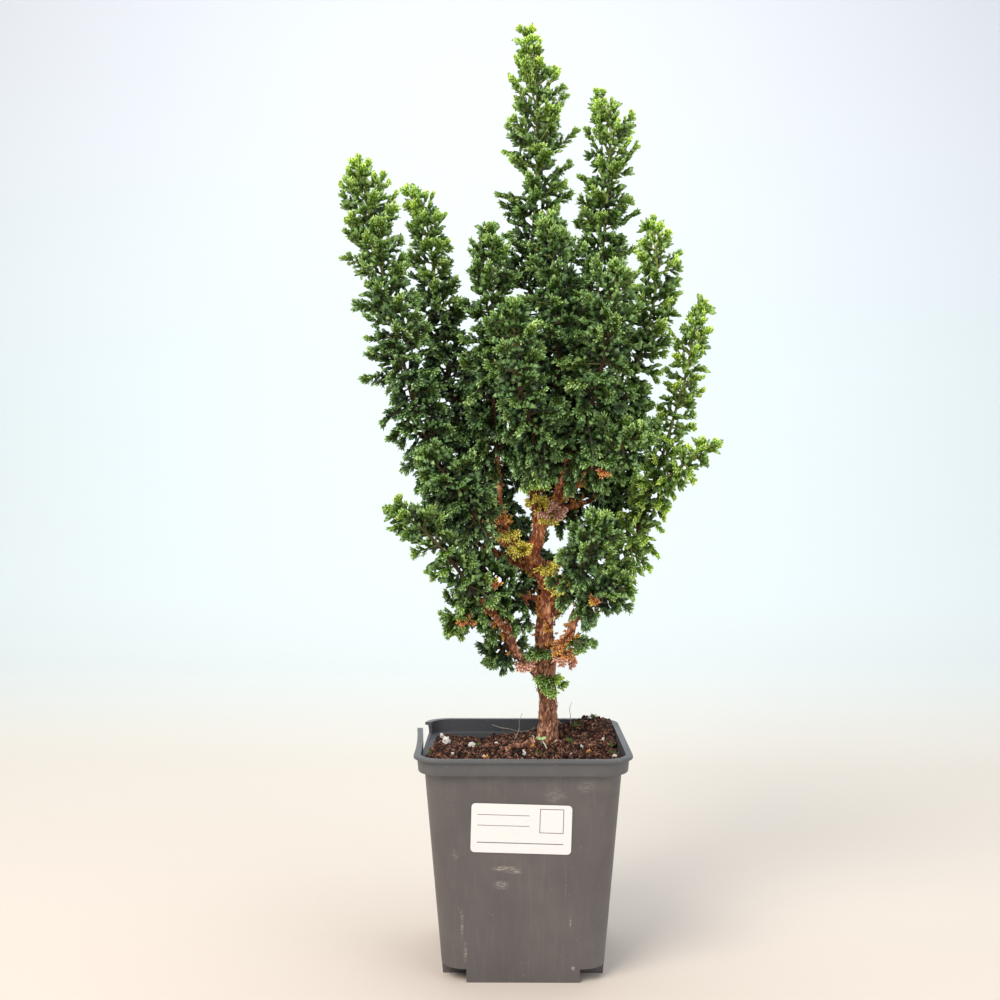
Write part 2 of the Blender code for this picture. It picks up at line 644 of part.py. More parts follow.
def split_knots(knots):
    """Points in metres and radii in metres from knots in millimetres."""
    points = [Vector(knot[:3]) * MM for knot in knots]
    radii = [knot[3] * MM for knot in knots]
    return points, radii


def root_knots():
    """The surface root's knots, laid over the soil."""
    knots = []
    for x, y, lift, radius in ROOT_RUN:
        z = soil_height(x * MM, y * MM) / MM + lift
        knots.append((x, y, z, radius))
    return knots


def make_wood(group, cutters):
    """Wood: the trunk with its root and bare branches joined to it, and the hole that it needs."""
    points, radii = split_knots(TRUNK)
    wood = tube("wood", points, radii, 2, group)
    limbs = new_collection("limbs")
    for index, knots in enumerate(BRANCHES + [root_knots()]):
        points, radii = split_knots(knots)
        tube(f"limb_{index}", points, radii, 1, limbs)
    fuse(wood, limbs)
    paint(wood, "wood")
    hole = []
    for name, knots, sides in (("foot_hole", TRUNK[:4], 2), ("root_hole", root_knots(), 2)):
        points, radii = split_knots(knots)
        grown = [radius * 1.12 + 2 * GAP for radius in radii]
        points[0] = points[0] - 2 * GAP * (points[1] - points[0]).normalized()
        points[-1] = points[-1] + 2 * GAP * (points[-1] - points[-2]).normalized()
        hole.append(as_cutter(tube(name, points, grown, sides, cutters)))
    return wood, hole


def make_seedling(group):
    """Seedling: a thin stem with two round leaves."""
    x, y = SEEDLING_ROOT
    surface = soil_height(x, y)
    top = Vector((x, y, surface)) + Vector(SEEDLING_RISE)
    points = [
        Vector((x, y, surface - SEEDLING_DEPTH)), Vector((x, y, surface + 1 * MM)),
        Vector((x - 1 * MM, y, surface + 3.5 * MM)), top,
    ]
    seedling = tube("seedling", points, [SEEDLING_RADIUS] * 4, 1, group)
    leaves = new_collection("seedling_leaves")
    for side in (-1, 1):
        bm = bmesh.new()
        middle = top + Vector((side * 0.9 * SEEDLING_LEAF, -0.3 * MM, 0.1 * MM))
        turn = Matrix.Rotation(math.radians(side * -18), 4, "Y") @ Matrix.Rotation(math.radians(28), 4, "X")
        bmesh.ops.create_cone(
            bm, cap_ends=True, segments=8, radius1=SEEDLING_LEAF, radius2=0.8 * SEEDLING_LEAF,
            depth=0.8 * MM, matrix=Matrix.Translation(middle) @ turn)
        object_of(f"seedling_leaf_{side}", bm, leaves)
    fuse(seedling, leaves)
    paint(seedling, "seedling")
    return seedling


def spline_point(knots, t):
    """A point on the smooth curve through knots, with t from 0 at the first to 1 at the last."""
    place = min(max(t, 0.0), 1.0) * (len(knots) - 1)
    index = min(int(place), len(knots) - 2)
    f = place - index
    a = knots[max(index - 1, 0)]
    b = knots[index]
    c = knots[index + 1]
    d = knots[min(index + 2, len(knots) - 1)]
    linear = (c - a) * f
    square = (2 * a - 5 * b + 4 * c - d) * f ** 2
    cube = (3 * b - a - 3 * c + d) * f ** 3
    return b + (linear + square + cube) / 2


class Line:
    """A smooth curve through knots, read by its length from the root."""

    def __init__(self, knots):
        self.knots = [Vector(knot) * MM for knot in knots]
        count = 12 * len(knots)
        self.points = [spline_point(self.knots, i / count) for i in range(count + 1)]
        self.ways = [0.0]
        for a, b in zip(self.points, self.points[1:]):
            self.ways.append(self.ways[-1] + (b - a).length)
        self.length = self.ways[-1]

    def at(self, distance):
        """The point at a distance along the curve."""
        for i in range(1, len(self.points)):
            if self.ways[i] >= distance:
                span = self.ways[i] - self.ways[i - 1]
                f = (distance - self.ways[i - 1]) / span
                return self.points[i - 1].lerp(self.points[i], f)
        return self.points[-1].copy()

    def tangent(self, distance):
        """The direction of the curve at a distance along it."""
        return (self.at(distance + 2 * MM) - self.at(max(0.0, distance - 2 * MM))).normalized()


def plume_width(widths, share):
    """Half-width of a plume at a share of its length: root, middle and tip widths blended."""
    root, middle, tip = (width * MM for width in widths)
    if share < 0.5:
        return root + (middle - root) * share * 2
    return middle + (tip - middle) * (share * 2 - 1) ** 1.5


def segment_gap(a, b, c, d):
    """Smallest distance between the segments a-b and c-d."""
    u, v, w = b - a, d - c, a - c
    uu, uv, vv, uw, vw = u.dot(u), u.dot(v), v.dot(v), u.dot(w), v.dot(w)
    denominator = uu * vv - uv * uv
    s = 0.0
    if denominator > 1e-16:
        s = min(1.0, max(0.0, (uv * vw - vv * uw) / denominator))
    t = (uv * s + vw) / vv
    t = min(1.0, max(0.0, t))
    s = min(1.0, max(0.0, (uv * t - uw) / uu))
    return (a + u * s - c - v * t).length


class Space:
    """Rods already placed, so that a new one of another node can be kept clear of them."""

    def __init__(self):
        self.rods = []

    def add(self, owner, a, b, radius):
        """Remember a rod."""
        self.rods.append((owner, a, b, radius, (a + b) / 2, (b - a).length / 2 + radius))

    def free(self, owner, a, b, radius):
        """Whether a rod keeps the gap to every rod of another owner."""
        middle, reach = (a + b) / 2, (b - a).length / 2 + radius + 1.5 * GAP
        for other, c, d, other_radius, other_middle, other_reach in self.rods:
            if other == owner or (middle - other_middle).length > reach + other_reach:
                continue
            if segment_gap(a, b, c, d) < radius + other_radius + 1.5 * GAP:
                return False
        return True


def core_knots(line, widths, draw):
    """Points and radii of a leafy stem's lumpy core."""
    count = max(3, round(line.length / CORE_STEP) + 1)
    points, radii = [], []
    for i in range(count):
        share = i / (count - 1)
        points.append(line.at(share * line.length))
        swell = math.sin(math.pi * min(1.0, 0.12 + share * 1.6)) if share < 0.25 else 1.0
        narrow = 1.0 if share < 0.85 else 1 - 0.55 * (share - 0.85) / 0.15
        lump = draw.uniform(0.75, 1.2)
        radii.append(max(1.6 * MM, CORE_SHARE * plume_width(widths, share) * swell * narrow * lump))
    radii[0] = 1.7 * MM
    return points, radii


def rod(name, start, end, radius_start, radius_end, sides, turn, group):
    """A blunt tapered rod between two points."""
    bm = bmesh.new()
    way = end - start
    place = Matrix.Translation((start + end) / 2)
    place = place @ way.to_track_quat("Z", "Y").to_matrix().to_4x4() @ Matrix.Rotation(turn, 4, "Z")
    bmesh.ops.create_cone(
        bm, cap_ends=True, segments=sides, radius1=radius_start, radius2=radius_end,
        depth=way.length, matrix=place)
    return object_of(name, bm, group)


def spray_way(line, distance, turn, lean):
    """Direction of a spray: round the stem by a turn, leaning up it or hanging out from it."""
    along = line.tangent(distance)
    side = along.orthogonal().normalized()
    side.rotate(Matrix.Rotation(turn, 3, along))
    return (side * math.cos(lean) + along * math.sin(lean)).normalized()


def finger_way(spray, hand, draw):
    """Direction of a finger: forty or so degrees off its spray, to one hand."""
    side = spray.orthogonal().normalized()
    side.rotate(Matrix.Rotation(draw.uniform(-0.6, 0.6) + (math.pi if hand else 0), 3, spray))
    return (spray * math.cos(0.75) + side * math.sin(0.75)).normalized()


def plan_sprays(name, line, widths, core_radii, space, draw):
    """Choose a leafy stem's sprays and fingers, each kept clear of the other nodes."""
    rods = []
    count = max(LEAST_SPRAYS, round(line.length / SPRAY_STEP))
    for i in range(count):
        share = (i + 0.6) / count
        distance = share * line.length
        core = core_radii[min(len(core_radii) - 1, round(share * (len(core_radii) - 1)))]
        lean = LOW_LEAN + (TOP_LEAN - LOW_LEAN) * share ** 1.1
        reach = plume_width(widths, share) / math.cos(lean) ** 0.5 * SPRAY_LENGTHS[i % len(SPRAY_LENGTHS)]
        forked = share > FINGERS_ABOVE and i % 2 == 0
        thick = SPRAY_TIP + (END_SPRAY_TIP - SPRAY_TIP) * max(0.0, share - 0.5) * 2
        for try_turn in (0.0, 0.45, -0.45):
            way = spray_way(line, distance, i * GOLDEN_TURN + try_turn, lean + draw.uniform(-0.15, 0.15))
            start = line.at(distance) + way * 0.2 * core
            if add_spray(name, start, way * reach, thick, core, rods, space, forked, draw):
                break
    end = line.at(line.length - 3 * MM)
    way = line.tangent(line.length) * END_REACH
    add_spray(name, end, way, END_SPRAY_TIP, 0, rods, space, True, draw)
    return rods


def add_spray(name, start, way, thick, core, rods, space, forked, draw):
    """Add one spray where there is room, shorter if it has to be, and its finger if it forks."""
    for share in SHORTER:
        end = start + way * share
        if not space.free(name, start + way.normalized() * core * 0.8, end, thick):
            continue
        rods.append((start, end, min(SPRAY_ROOT, thick), thick))
        space.add(name, start, end, thick)
        if forked:
            fork = start.lerp(end, draw.uniform(0.55, 0.7))
            tip = fork + finger_way(way.normalized(), draw.random() < 0.5, draw) * FINGER_LENGTH
            if space.free(name, fork, tip, FINGER_ROOT):
                rods.append((fork, tip, FINGER_ROOT, FINGER_TIP))
                space.add(name, fork, tip, FINGER_ROOT)
        return True
    return False


def make_leafy_stems(group, space):
    """Leafy stems: a slim lumpy core along each line, with sprays and fingers fused to it."""
    plans = {}
    for name, stem in LEAFY_STEMS.items():
        draw = random.Random(f"{name} {SEED}")
        plans[name] = []
        for knots in stem.lines:
            line = Line(knots)
            points, radii = core_knots(line, stem.widths, draw)
            plans[name].append((line, points, radii))
            for i in range(len(points) - 1):
                space.add(name, points[i], points[i + 1], max(radii[i], radii[i + 1]))
    for name, stem in LEAFY_STEMS.items():
        draw = random.Random(f"{name} sprays {SEED}")
        repeats = new_collection(name + "_repeats")
        core = None
        for index, (line, points, radii) in enumerate(plans[name]):
            piece = tube(
                f"{name}_shoot" if index else name, points, radii, 0, repeats if index else group)
            core = core or piece
            planned = plan_sprays(name, line, stem.widths, radii, space, draw)
            for number, (start, end, thick, thin) in enumerate(planned):
                turn = draw.uniform(0, math.tau)
                rod(f"{name}_rod_{index}_{number}", start, end, thick, thin, 3, turn, repeats)
        fuse(core, repeats)
        paint(core, "leafy")


def make_tufts(group, space):
    """Tufts: green sprigs, yellow fans and dead sprays that grow from the bark."""
    for name, tuft in TUFTS.items():
        draw = random.Random(f"{name} {SEED}")
        root = Vector(tuft.root) * MM
        way = Vector(tuft.way).normalized()
        end = root + way * tuft.length * MM
        core = rod(name, root, end, TUFT_ROOT, TUFT_TIP, 4, 0, group)
        space.add(name, root, end, 1.5 * MM)
        repeats = new_collection(name + "_repeats")
        for index in range(tuft.fingers):
            fork = root.lerp(end, 0.3 + 0.6 * index / tuft.fingers)
            side = way.orthogonal().normalized()
            side.rotate(Matrix.Rotation(index * GOLDEN_TURN, 3, way))
            tip = fork + (way * 0.55 + side * 0.83) * draw.uniform(0.8, 1.1) * 0.75 * FINGER_LENGTH
            if space.free(name, fork + side * MM, tip, FINGER_ROOT):
                turn = draw.uniform(0, math.tau)
                rod(f"{name}_rod_{index}", fork, tip, TUFT_ROOT, TUFT_TIP, 3, turn, repeats)
                space.add(name, fork, tip, FINGER_ROOT)
        fuse(core, repeats)
        paint(core, name.split("_")[0])


def wood_rods(space):
    """Remember the wood, so that sprays keep clear of it."""
    for knots in [TRUNK] + BRANCHES:
        points, radii = split_knots(knots)
        for i in range(len(points) - 1):
            space.add("wood", points[i], points[i + 1], max(radii[i], radii[i + 1]))


def main():
    """Build the bonsai."""
    clear_scene()
    group = new_collection("hinoki_cypress_bonsai")
    cutters = new_collection("cutters")
    make_pot(group, cutters)
    make_label(group)
    wood, wood_hole = make_wood(group, cutters)
    make_soil(group, cutters, wood_hole)
    make_seedling(group)
    space = Space()
    wood_rods(space)
    make_tufts(group, space)
    make_leafy_stems(group, space)


main()
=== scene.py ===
"""Looks of a hinoki cypress bonsai in a square plastic nursery pot.

The frame holds the pot, label, soil, wood, seedling and leafy stems as plain solids. This script
keeps their places and gives each its real surface: fingers of scale leaves along every spray, flaky
bark, fibrous peat, scuffed plastic. Lengths are millimetres times MM, +Z is up, and the front of the
pot faces -Y.
"""

import json
import math
import random
from typing import NamedTuple

import bmesh
import bpy
from mathutils import Matrix, Vector, noise

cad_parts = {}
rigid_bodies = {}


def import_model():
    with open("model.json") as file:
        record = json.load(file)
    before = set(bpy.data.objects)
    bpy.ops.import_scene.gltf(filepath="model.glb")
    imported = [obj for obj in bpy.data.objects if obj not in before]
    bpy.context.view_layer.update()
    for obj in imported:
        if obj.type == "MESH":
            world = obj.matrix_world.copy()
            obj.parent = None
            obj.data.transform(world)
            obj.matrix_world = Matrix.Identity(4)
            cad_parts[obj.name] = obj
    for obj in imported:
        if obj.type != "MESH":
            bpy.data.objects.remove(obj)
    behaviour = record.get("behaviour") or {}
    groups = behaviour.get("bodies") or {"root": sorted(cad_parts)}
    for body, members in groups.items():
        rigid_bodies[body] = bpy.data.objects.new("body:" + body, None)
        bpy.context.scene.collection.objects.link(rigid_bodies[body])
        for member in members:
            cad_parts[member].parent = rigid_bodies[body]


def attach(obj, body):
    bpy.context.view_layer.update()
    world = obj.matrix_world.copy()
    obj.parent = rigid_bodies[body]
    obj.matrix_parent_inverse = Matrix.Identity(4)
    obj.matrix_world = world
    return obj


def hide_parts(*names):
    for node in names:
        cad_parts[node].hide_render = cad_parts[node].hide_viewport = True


MM = 0.001
SEED = 41

# Angles in degrees up to which a piece is shaded smooth
POT_ANGLE = 32
CRUMB_ANGLE = 40
SOIL_ANGLE = 50
SOFT_ANGLE = 60

# Camera: fitted to the pot's corners in the photograph
CAMERA_PLACE = (-7.4 * MM, -644.6 * MM, 248 * MM)
CAMERA_DOWN = 0.009
CAMERA_LEFT = 0.007
CAMERA_LENS = 43.4
CAMERA_SENSOR = 36

# Lights: name, place, target and size in metres, power in watts, and colour
LIGHTS = [
    ("key", (-0.75, -1.0, 1.35), (0, 0, 0.25), 0.9, 24, "#fff8ee"),
    ("fill", (1.1, -0.9, 0.7), (0, 0, 0.25), 1.2, 7, "#eef4ff"),
    ("top", (0.1, 0.2, 1.5), (0, 0, 0.25), 0.9, 8, "#f6faff"),
    ("wall", (0, 0.75, 1.5), (0, 1.5, 0.5), 1.2, 3, "#f2f7ff"),
]
WORLD_COLOUR = "#f1f5fa"
WORLD_STRENGTH = 0.5
SEEN_WORLD_STRENGTH = 0.95

# Backdrop in metres: half-width, front end, where it starts to bend, the bend's radius and top
BACKDROP_HALF = 2.2
BACKDROP_FRONT = -1.6
BACKDROP_BEND = 1.0
BACKDROP_RADIUS = 0.5
BACKDROP_TOP = 2.2

# Pot: a 110 mm square nursery pot with a stepped band under its lip
POT_HEIGHT = 115 * MM
POT_WALL = 1.5 * MM
BASE_HALF = 41 * MM
BASE_CORNER = 12 * MM
LEDGE_Z = 106.2 * MM
LEDGE_RISE = 0.6 * MM
BODY_TOP_HALF = 49.7 * MM
BODY_TOP_CORNER = 12.9 * MM
BAND_HALF = 52.8 * MM
BAND_TOP_HALF = 53.3 * MM
BAND_CORNER = 13.6 * MM
LIP_HALF = 55 * MM
LIP_THICK = 1.5 * MM
LIP_CORNER = 14 * MM
FOOT_HALF = 28.5 * MM
FOOT_RAISE = 7 * MM
DRAIN_RADIUS = 4 * MM
DRAIN_PLACE = 33.5 * MM
DRAIN_DEPTH = 6 * MM
DRAIN_SIDES = 24
CORNER_STEPS = 12
CORNERS = ((1, 1), (-1, 1), (-1, -1), (1, -1))
POT_EDGE = 0.28 * MM

# The band and lip are torn at the left: a stretch is missing and the strip before it springs out
TEAR_FRONT = -30 * MM
TEAR_BACK = 42 * MM
STRIP_END = 28 * MM
STRIP_SPRING = 3.4 * MM
STRIP_FOOT_Z = 109 * MM
STRIP_STATIONS = 30
TEAR_STEPS = 36
TEAR_END_STEPS = 11

# Label: 50 x 25 mm of paper on the front wall, a little askew
LABEL_SIZE = (50 * MM, 25 * MM)
LABEL_CORNER = 2 * MM
LABEL_CORNER_STEPS = 8
LABEL_THICK = 0.16 * MM
LABEL_OFF_WALL = 0.34 * MM
LABEL_PLACE = (-1 * MM, 79.4 * MM)
LABEL_TURN = math.radians(-1.6)

# Its generic print as low x, high x, low z and high z in millimetres from its middle
LABEL_MARKS = [
    (-22, 4, 6.6, 6.95), (-22, 4, 1.2, 1.55), (-22, 21, -7.6, -7.1),
    (9, 21, 10.1, 10.5), (9, 21, -1.9, -1.5), (9, 9.4, -1.9, 10.5), (20.6, 21, -1.9, 10.5),
]

# Soil: heaped at the back right and low at the back left, as its solid is
SOIL_LEVEL = 109.4 * MM
SOIL_HEAP = (40 * MM, 33 * MM, 19 * MM, 9.5 * MM)
SOIL_DIP = (-26 * MM, 34 * MM, 24 * MM, -6 * MM)
SOIL_FRONT_RISE = 1.6 * MM
SOIL_LUMP = 1.3 * MM
SOIL_WALL_Z = 107.9 * MM
SOIL_BAND_Z = 109.3 * MM
SOIL_FILLS_BAND = 109.6 * MM
SOIL_RINGS = 58
SOIL_SIDE_STEPS = 26
CLODS = 60
CLOD_RADII = (1.2, 2.4)
CRUMBS = 2150
CRUMB_RADII = (0.35, 1.1)
FIBRES = 130
FIBRE_LENGTHS = (2.0, 5.5)
FIBRE_RADII = (0.16 * MM, 0.12 * MM)

# Perlite grains as x, y and radius, and moss tufts as x, y and spread, in millimetres
PERLITE = [
    (-42, 26, 2.5), (-27, 3, 1.9), (-45, 38, 1.4), (0, -21, 1.5), (17.5, 11.5, 1.6), (31, -4, 1.1),
    (-14, 20, 0.9), (44, 10, 1.0), (-36, -24, 0.9), (25, -22, 1.1), (38, 30, 1.3), (-20, -30, 0.8),
    (6, 28, 1.0), (47, -28, 1.2),
]
MOSS = [
    (31, 26, 5.5), (50, 2, 5), (48, -16, 4.5), (26, 9, 4), (5, 6, 3.5), (-24, 10, 3), (8, -19, 3),
    (41, 38, 4), (-49, -20, 2.5),
]
MOSS_BLADES = 26
BLADE_HEIGHTS = (1.0, 2.6)

# Seedling: a weed with a thin white stem and two round leaves, in front of the trunk
SEEDLING_ROOT = (13 * MM, -5 * MM)
SEEDLING_RISE = (-3 * MM, 0.5 * MM, 6.5 * MM)
SEEDLING_RADIUS = 0.42 * MM
SEEDLING_LEAF = 1.5 * MM

# Wood: the trunk's centre line and its radius at each point, in millimetres, as in its solid
TRUNK = [
    (14, 15.5, 97, 5.8), (14, 15.5, 102, 6.0), (14, 15, 109, 6.6), (14, 14, 117, 5.4),
    (14.2, 13, 133, 5.0), (13, 12, 144, 5.3), (12.5, 12, 158, 5.6), (12.5, 12, 176, 4.8),
    (15.2, 13, 188, 4.8), (13.6, 13, 197, 4.7), (8.7, 12, 205, 4.5), (5, 11, 213, 4.6),
    (8, 11, 220, 4.0), (10.2, 12, 230, 3.8), (8.7, 12, 238, 3.6), (6.5, 13, 249, 3.3),
    (8.5, 13, 258, 2.9), (10, 13, 266.5, 2.4),
]
BRANCHES = [
    [(12, 12, 145, 3.2), (5.4, 8, 151.7, 3.0), (-2.2, 4, 159.2, 2.8), (-6, 2, 167, 2.6),
     (-8.7, 0, 176, 2.3)],
    [(13, 11, 153, 3.2), (18.3, 6, 158, 3.0), (25, 2, 168.5, 2.7), (27.2, 2, 178, 2.4),
     (29, 1.5, 184, 2.0)],
    [(27, 2, 177, 2.2), (35, 6, 183.5, 2.1), (45, 9.6, 192, 1.9)],
    [(-7.6, 0.8, 172, 2.1), (-13, -8, 179, 2.0), (-22.4, -11.8, 190.3, 1.8)],
    [(6, 11, 212, 3.2), (-3, 8, 216, 3.0), (-14, 3, 224, 2.7), (-27.4, -1.8, 235.2, 2.2)],
    [(-13, 3, 223, 2.2), (-20, 8, 241, 2.0), (-28.8, 10, 266.4, 1.8)],
    [(-5, 7, 217, 2.2), (-11, -1, 234, 2.0), (-13, -4, 250, 1.8), (-13.5, -5, 267.5, 1.7)],
    [(-14, 3, 224, 2.1), (-17, -6, 228, 1.9), (-22, -13.2, 231.4, 1.7)],
    [(10, 12, 203, 2.4), (-4, 17, 208, 2.1), (-22, 19.8, 216.4, 1.8)],
    [(14, 12, 188, 2.0), (6, 10, 189, 1.8), (-0.2, 8.3, 189.8, 1.7)],
    [(6.5, 13, 249, 2.2), (14, 17, 262, 2.0), (23.3, 19.8, 274.2, 1.8)],
    [(9, 12, 236, 2.6), (18, 8, 243, 2.4), (28, 5, 250, 2.1), (38.4, 2.3, 265.1, 1.8)],
    [(8.5, 13, 257, 2.0), (10, 2, 266, 1.8), (12.8, -7.3, 273.2, 1.7)],
    [(18, 8, 243, 2.0), (21.5, -2, 256, 1.8), (25.7, -9.4, 268.2, 1.7)],
    [(6.5, 13, 247, 2.0), (6, -1, 252, 1.8), (8.7, -13.2, 261.3, 1.7)],
    [(27, 5, 249.5, 1.8), (30, -5, 253, 1.7), (32.5, -11.4, 257.4, 1.6)],
    [(13.6, 13, 195, 2.2), (20, 4, 197, 1.9), (25.6, -5.2, 199.6, 1.7)],
    [(14, 13, 187, 2.2), (26, 18, 198, 2.0), (37.3, 19.9, 208.3, 1.8)],
    [(5, 12, 213, 2.2), (-2, 23, 218, 2.0), (-9.6, 34.3, 224.5, 1.8)],
    [(10, 13, 229, 2.2), (14, 23, 231, 2.0), (19.2, 32.5, 234.3, 1.8)],
    [(9, 13, 238, 2.0), (25, 25, 238, 1.9), (39.3, 33.6, 241.6, 1.8)],
    [(12.5, 14, 177, 2.2), (11, 23, 183, 2.0), (10, 29.4, 189.4, 1.8)],
]
ROOT_RUN = [
    (12, 12, 1.2, 2.8), (7, 4, 1.9, 2.2), (1, -5, 1.9, 1.9), (-6, -12, 1.7, 1.6), (-13, -18, 0.8, 1.3),
]
LIMB_SIDES = 20
LIMB_STEPS = 7
WOOD_VOXEL = 0.8 * MM
BARK_RELIEF = 0.42 * MM
PLATE_WIDE = 1.7 * MM
PLATE_TALL = 3.6 * MM
BARK_FLAKES = 2200
FLAKE_LENGTHS = (1.0, 2.7)
FLAKE_CURLS = (0.06, 0.16, 0.3)
HIGH_BARK = 190 * MM
ROOT_CLEAR = 4.5 * MM


class Leafy(NamedTuple):
    """One leafy stem: half-widths at root, middle and tip, the length over which its tip rounds off,
    youth at root and tip, its lines, and how dense it is."""

    widths: tuple
    youth: tuple
    lines: list
    density: float = 1.0


# Leafy stems along the lines of their solids, in millimetres. The low hanging one is set back
# behind its branch
LEAFY_STEMS = {
    "leafy_outer_left": Leafy((15, 17, 14, 22), (0.1, 0.85), [[
        (-28, -2, 236), (-40, -8, 254), (-50, -12, 274), (-58, -14, 297), (-64, -14, 323),
        (-69, -12, 347), (-75, -10, 367), (-80, -8, 389), (-84, -6, 409), (-88, -5, 421)]],
        1.22),
    "leafy_inner_left": Leafy((15, 14, 10, 20), (0.1, 1.0), [[
        (-29, 10, 267), (-36, 12, 291), (-41, 13, 318), (-44, 14, 343), (-48, 15, 365),
        (-50, 15, 381), (-53, 14, 396), (-58, 13, 405), (-64, 12, 411)]],
        1.22),
    "leafy_top": Leafy((19, 20, 16, 42), (0.15, 1.0), [[
        (10, 13, 267), (7, 14, 294), (4, 16, 324), (4, 17, 352), (5, 17, 379), (7, 16, 401),
        (8, 15, 422), (8, 14, 444), (8, 13, 462), (5, 12, 481), (2, 12, 497)]]),
    "leafy_right_top": Leafy((17, 18, 15, 26), (0.2, 1.0), [[
        (24, 20, 275), (31, 23, 303), (37, 25, 331), (42, 26, 359), (45, 26, 383),
        (47, 25, 405), (48, 24, 427), (49, 23, 446), (46, 22, 458), (40, 21, 463)]]),
    "leafy_right": Leafy((14, 15, 12, 20), (0.35, 1.0), [[
        (39, 2, 266), (51, 0, 288), (60, -2, 311), (67, -3, 335), (71, -3, 356), (71, -3, 372),
        (69, -3, 391)]]),
    "leafy_far_right": Leafy((13, 12, 10, 28), (0.75, 1.0), [
        [(46, 10, 193), (56, 12, 209), (65, 12, 231), (72, 12, 253), (78, 11, 272),
         (83, 10, 290), (88, 9, 307), (91, 8, 323), (94, 8, 338), (98.5, 8, 350)],
        [(71, 10, 246), (80, 1, 256), (88, -4, 263), (96, -7, 269), (102, -8, 273)]]),
    "leafy_low_left": Leafy((12, 13, 10, 14), (0.3, 0.6), [[
        (-23, -12, 191), (-33, -15, 205), (-42, -18, 217), (-53, -20, 228), (-63, -20, 235),
        (-70, -19, 238)]]),
    "leafy_hanging_left": Leafy((12, 14, 11, 12), (0.2, 0.45), [[
        (-9.1, 0, 177.3), (-13, 2, 183), (-22, 4, 187), (-30, 2, 184), (-35, 0, 178), (-37, -2, 171)]],
        1.2),
    "leafy_hanging_low": Leafy((7, 11, 11, 8), (0.1, 0.3), [[
        (-7, 6, 163), (-11, 14, 160), (-14, 17, 156), (-16, 17, 152)]],
        1.5),
    "leafy_mid_left": Leafy((15, 15, 13, 14), (0.15, 0.35), [[
        (-23, -14, 232), (-33, -22, 247), (-42, -28, 258), (-50, -31, 266)]]),
    "leafy_back_left": Leafy((15, 15, 12, 14), (0.1, 0.4), [[
        (-23, 20, 217), (-36, 30, 231), (-46, 36, 243), (-54, 38, 253)]]),
    "leafy_inner_low": Leafy((12, 13, 11, 12), (0.1, 0.3), [[
        (-1, 8, 190), (-10, 5, 194), (-19, 1, 204), (-24, -1, 213)]]),
    "leafy_left_top": Leafy((15, 16, 13, 30), (0.15, 0.5), [[
        (-13.5, -5, 268.5), (-15, -7, 298), (-15, -8, 324), (-16, -10, 347), (-17, -10, 368),
        (-18, -8, 386)]]),
    "leafy_front_top": Leafy((16, 17, 12, 24), (0.2, 0.5), [[
        (13, -8, 274), (17, -16, 300), (19, -20, 325), (18, -18, 351), (15, -14, 373),
        (13, -9, 392)]]),
    "leafy_front_right": Leafy((15, 17, 14, 18), (0.2, 0.45), [[
        (26, -10, 269), (35, -22, 291), (41, -30, 314), (45, -31, 337), (47, -25, 353),
        (49, -18, 363)]]),
    "leafy_front": Leafy((14, 15, 12, 18), (0.2, 0.4), [[
        (9, -14, 262), (4, -28, 281), (-2, -37, 301), (-4, -38, 323), (-5, -31, 342)]]),
    "leafy_right_mid": Leafy((14, 15, 13, 14), (0.25, 0.5), [[
        (33, -12, 258), (46, -22, 266), (56, -27, 273), (63, -28, 278)]]),
    "leafy_low_right": Leafy((12, 13, 12, 12), (0.15, 0.45), [[
        (29.2, 1.2, 185.2), (41, -6, 192), (51, -11, 195), (57, -13, 198)]]),
    "leafy_low_front": Leafy((11, 13, 12, 14), (0.2, 0.4), [[
        (26, -6, 200), (32, -18, 213), (37, -26, 226), (40, -29, 235)]]),
    "leafy_low_back": Leafy((13, 14, 12, 14), (0.1, 0.4), [[
        (38, 20, 209), (47, 30, 228), (56, 36, 241), (62, 39, 251)]]),
    "leafy_back_tall": Leafy((14, 14, 11, 24), (0.15, 0.6), [[
        (20, 34, 235), (28, 48, 268), (30, 55, 305), (29, 56, 345), (27, 55, 372)]]),
    "leafy_back_inner": Leafy((14, 14, 12, 22), (0.15, 0.6), [[
        (-10, 35, 225), (-18, 48, 258), (-20, 55, 295), (-18, 56, 330)]]),
    "leafy_back_right": Leafy((14, 14, 11, 18), (0.15, 0.55), [[
        (40, 34, 242), (56, 46, 262), (66, 52, 288), (67, 52, 308)]]),
    "leafy_back_low": Leafy((12, 12, 11, 14), (0.1, 0.35), [[
        (10, 30, 190), (8, 43, 201), (4, 54, 216), (0, 58, 230)]]),
}

# Sprays stand round each stem on a spiral, and each is a fan of blunt fingers of scale leaves
SPRAY_STEP = 1.85 * MM
INNER_STEP = 2.6 * MM
PLAIN_STRETCH = 1.2
TIP_SPARE = 3 * MM
GOLDEN_TURN = math.radians(137.5)
LOW_LEAN = math.radians(-30)
TOP_LEAN = math.radians(50)
FAN_CLEAR = 0.3
OLD_FINGER = 7.4 * MM
YOUNG_FINGER = 4.6 * MM
FORK_LENGTH = 6.2 * MM
FINGER_STEP = 1.9 * MM
FINGER_LENGTH = 5.0 * MM
FINGER_CORE = 0.95 * MM
LEAF_LENGTH = 2.2 * MM
LEAF_WIDTH = 2.0 * MM
LEAF_SPREAD = math.radians(21)
FINGER_PAIRS = 4
FINGER_BENDS = (0.2, 0.7, 1.3)
FINGER_KINDS = len(FINGER_BENDS)
SHORTEST_SPRAY = 3 * MM
TWIG_RADII = (0.55 * MM, 0.4 * MM)
STEM_RADII = (1.3 * MM, 0.6 * MM)
STEM_STEP = 6 * MM
LINE_STEPS = 12

# Rings of a plain finger, as shares of its length and of its core's radius
PLAIN_WHORLS = ((0.0, 0.6), (0.28, 1.35), (0.42, 0.85), (0.74, 1.3), (1.05, 0.35))


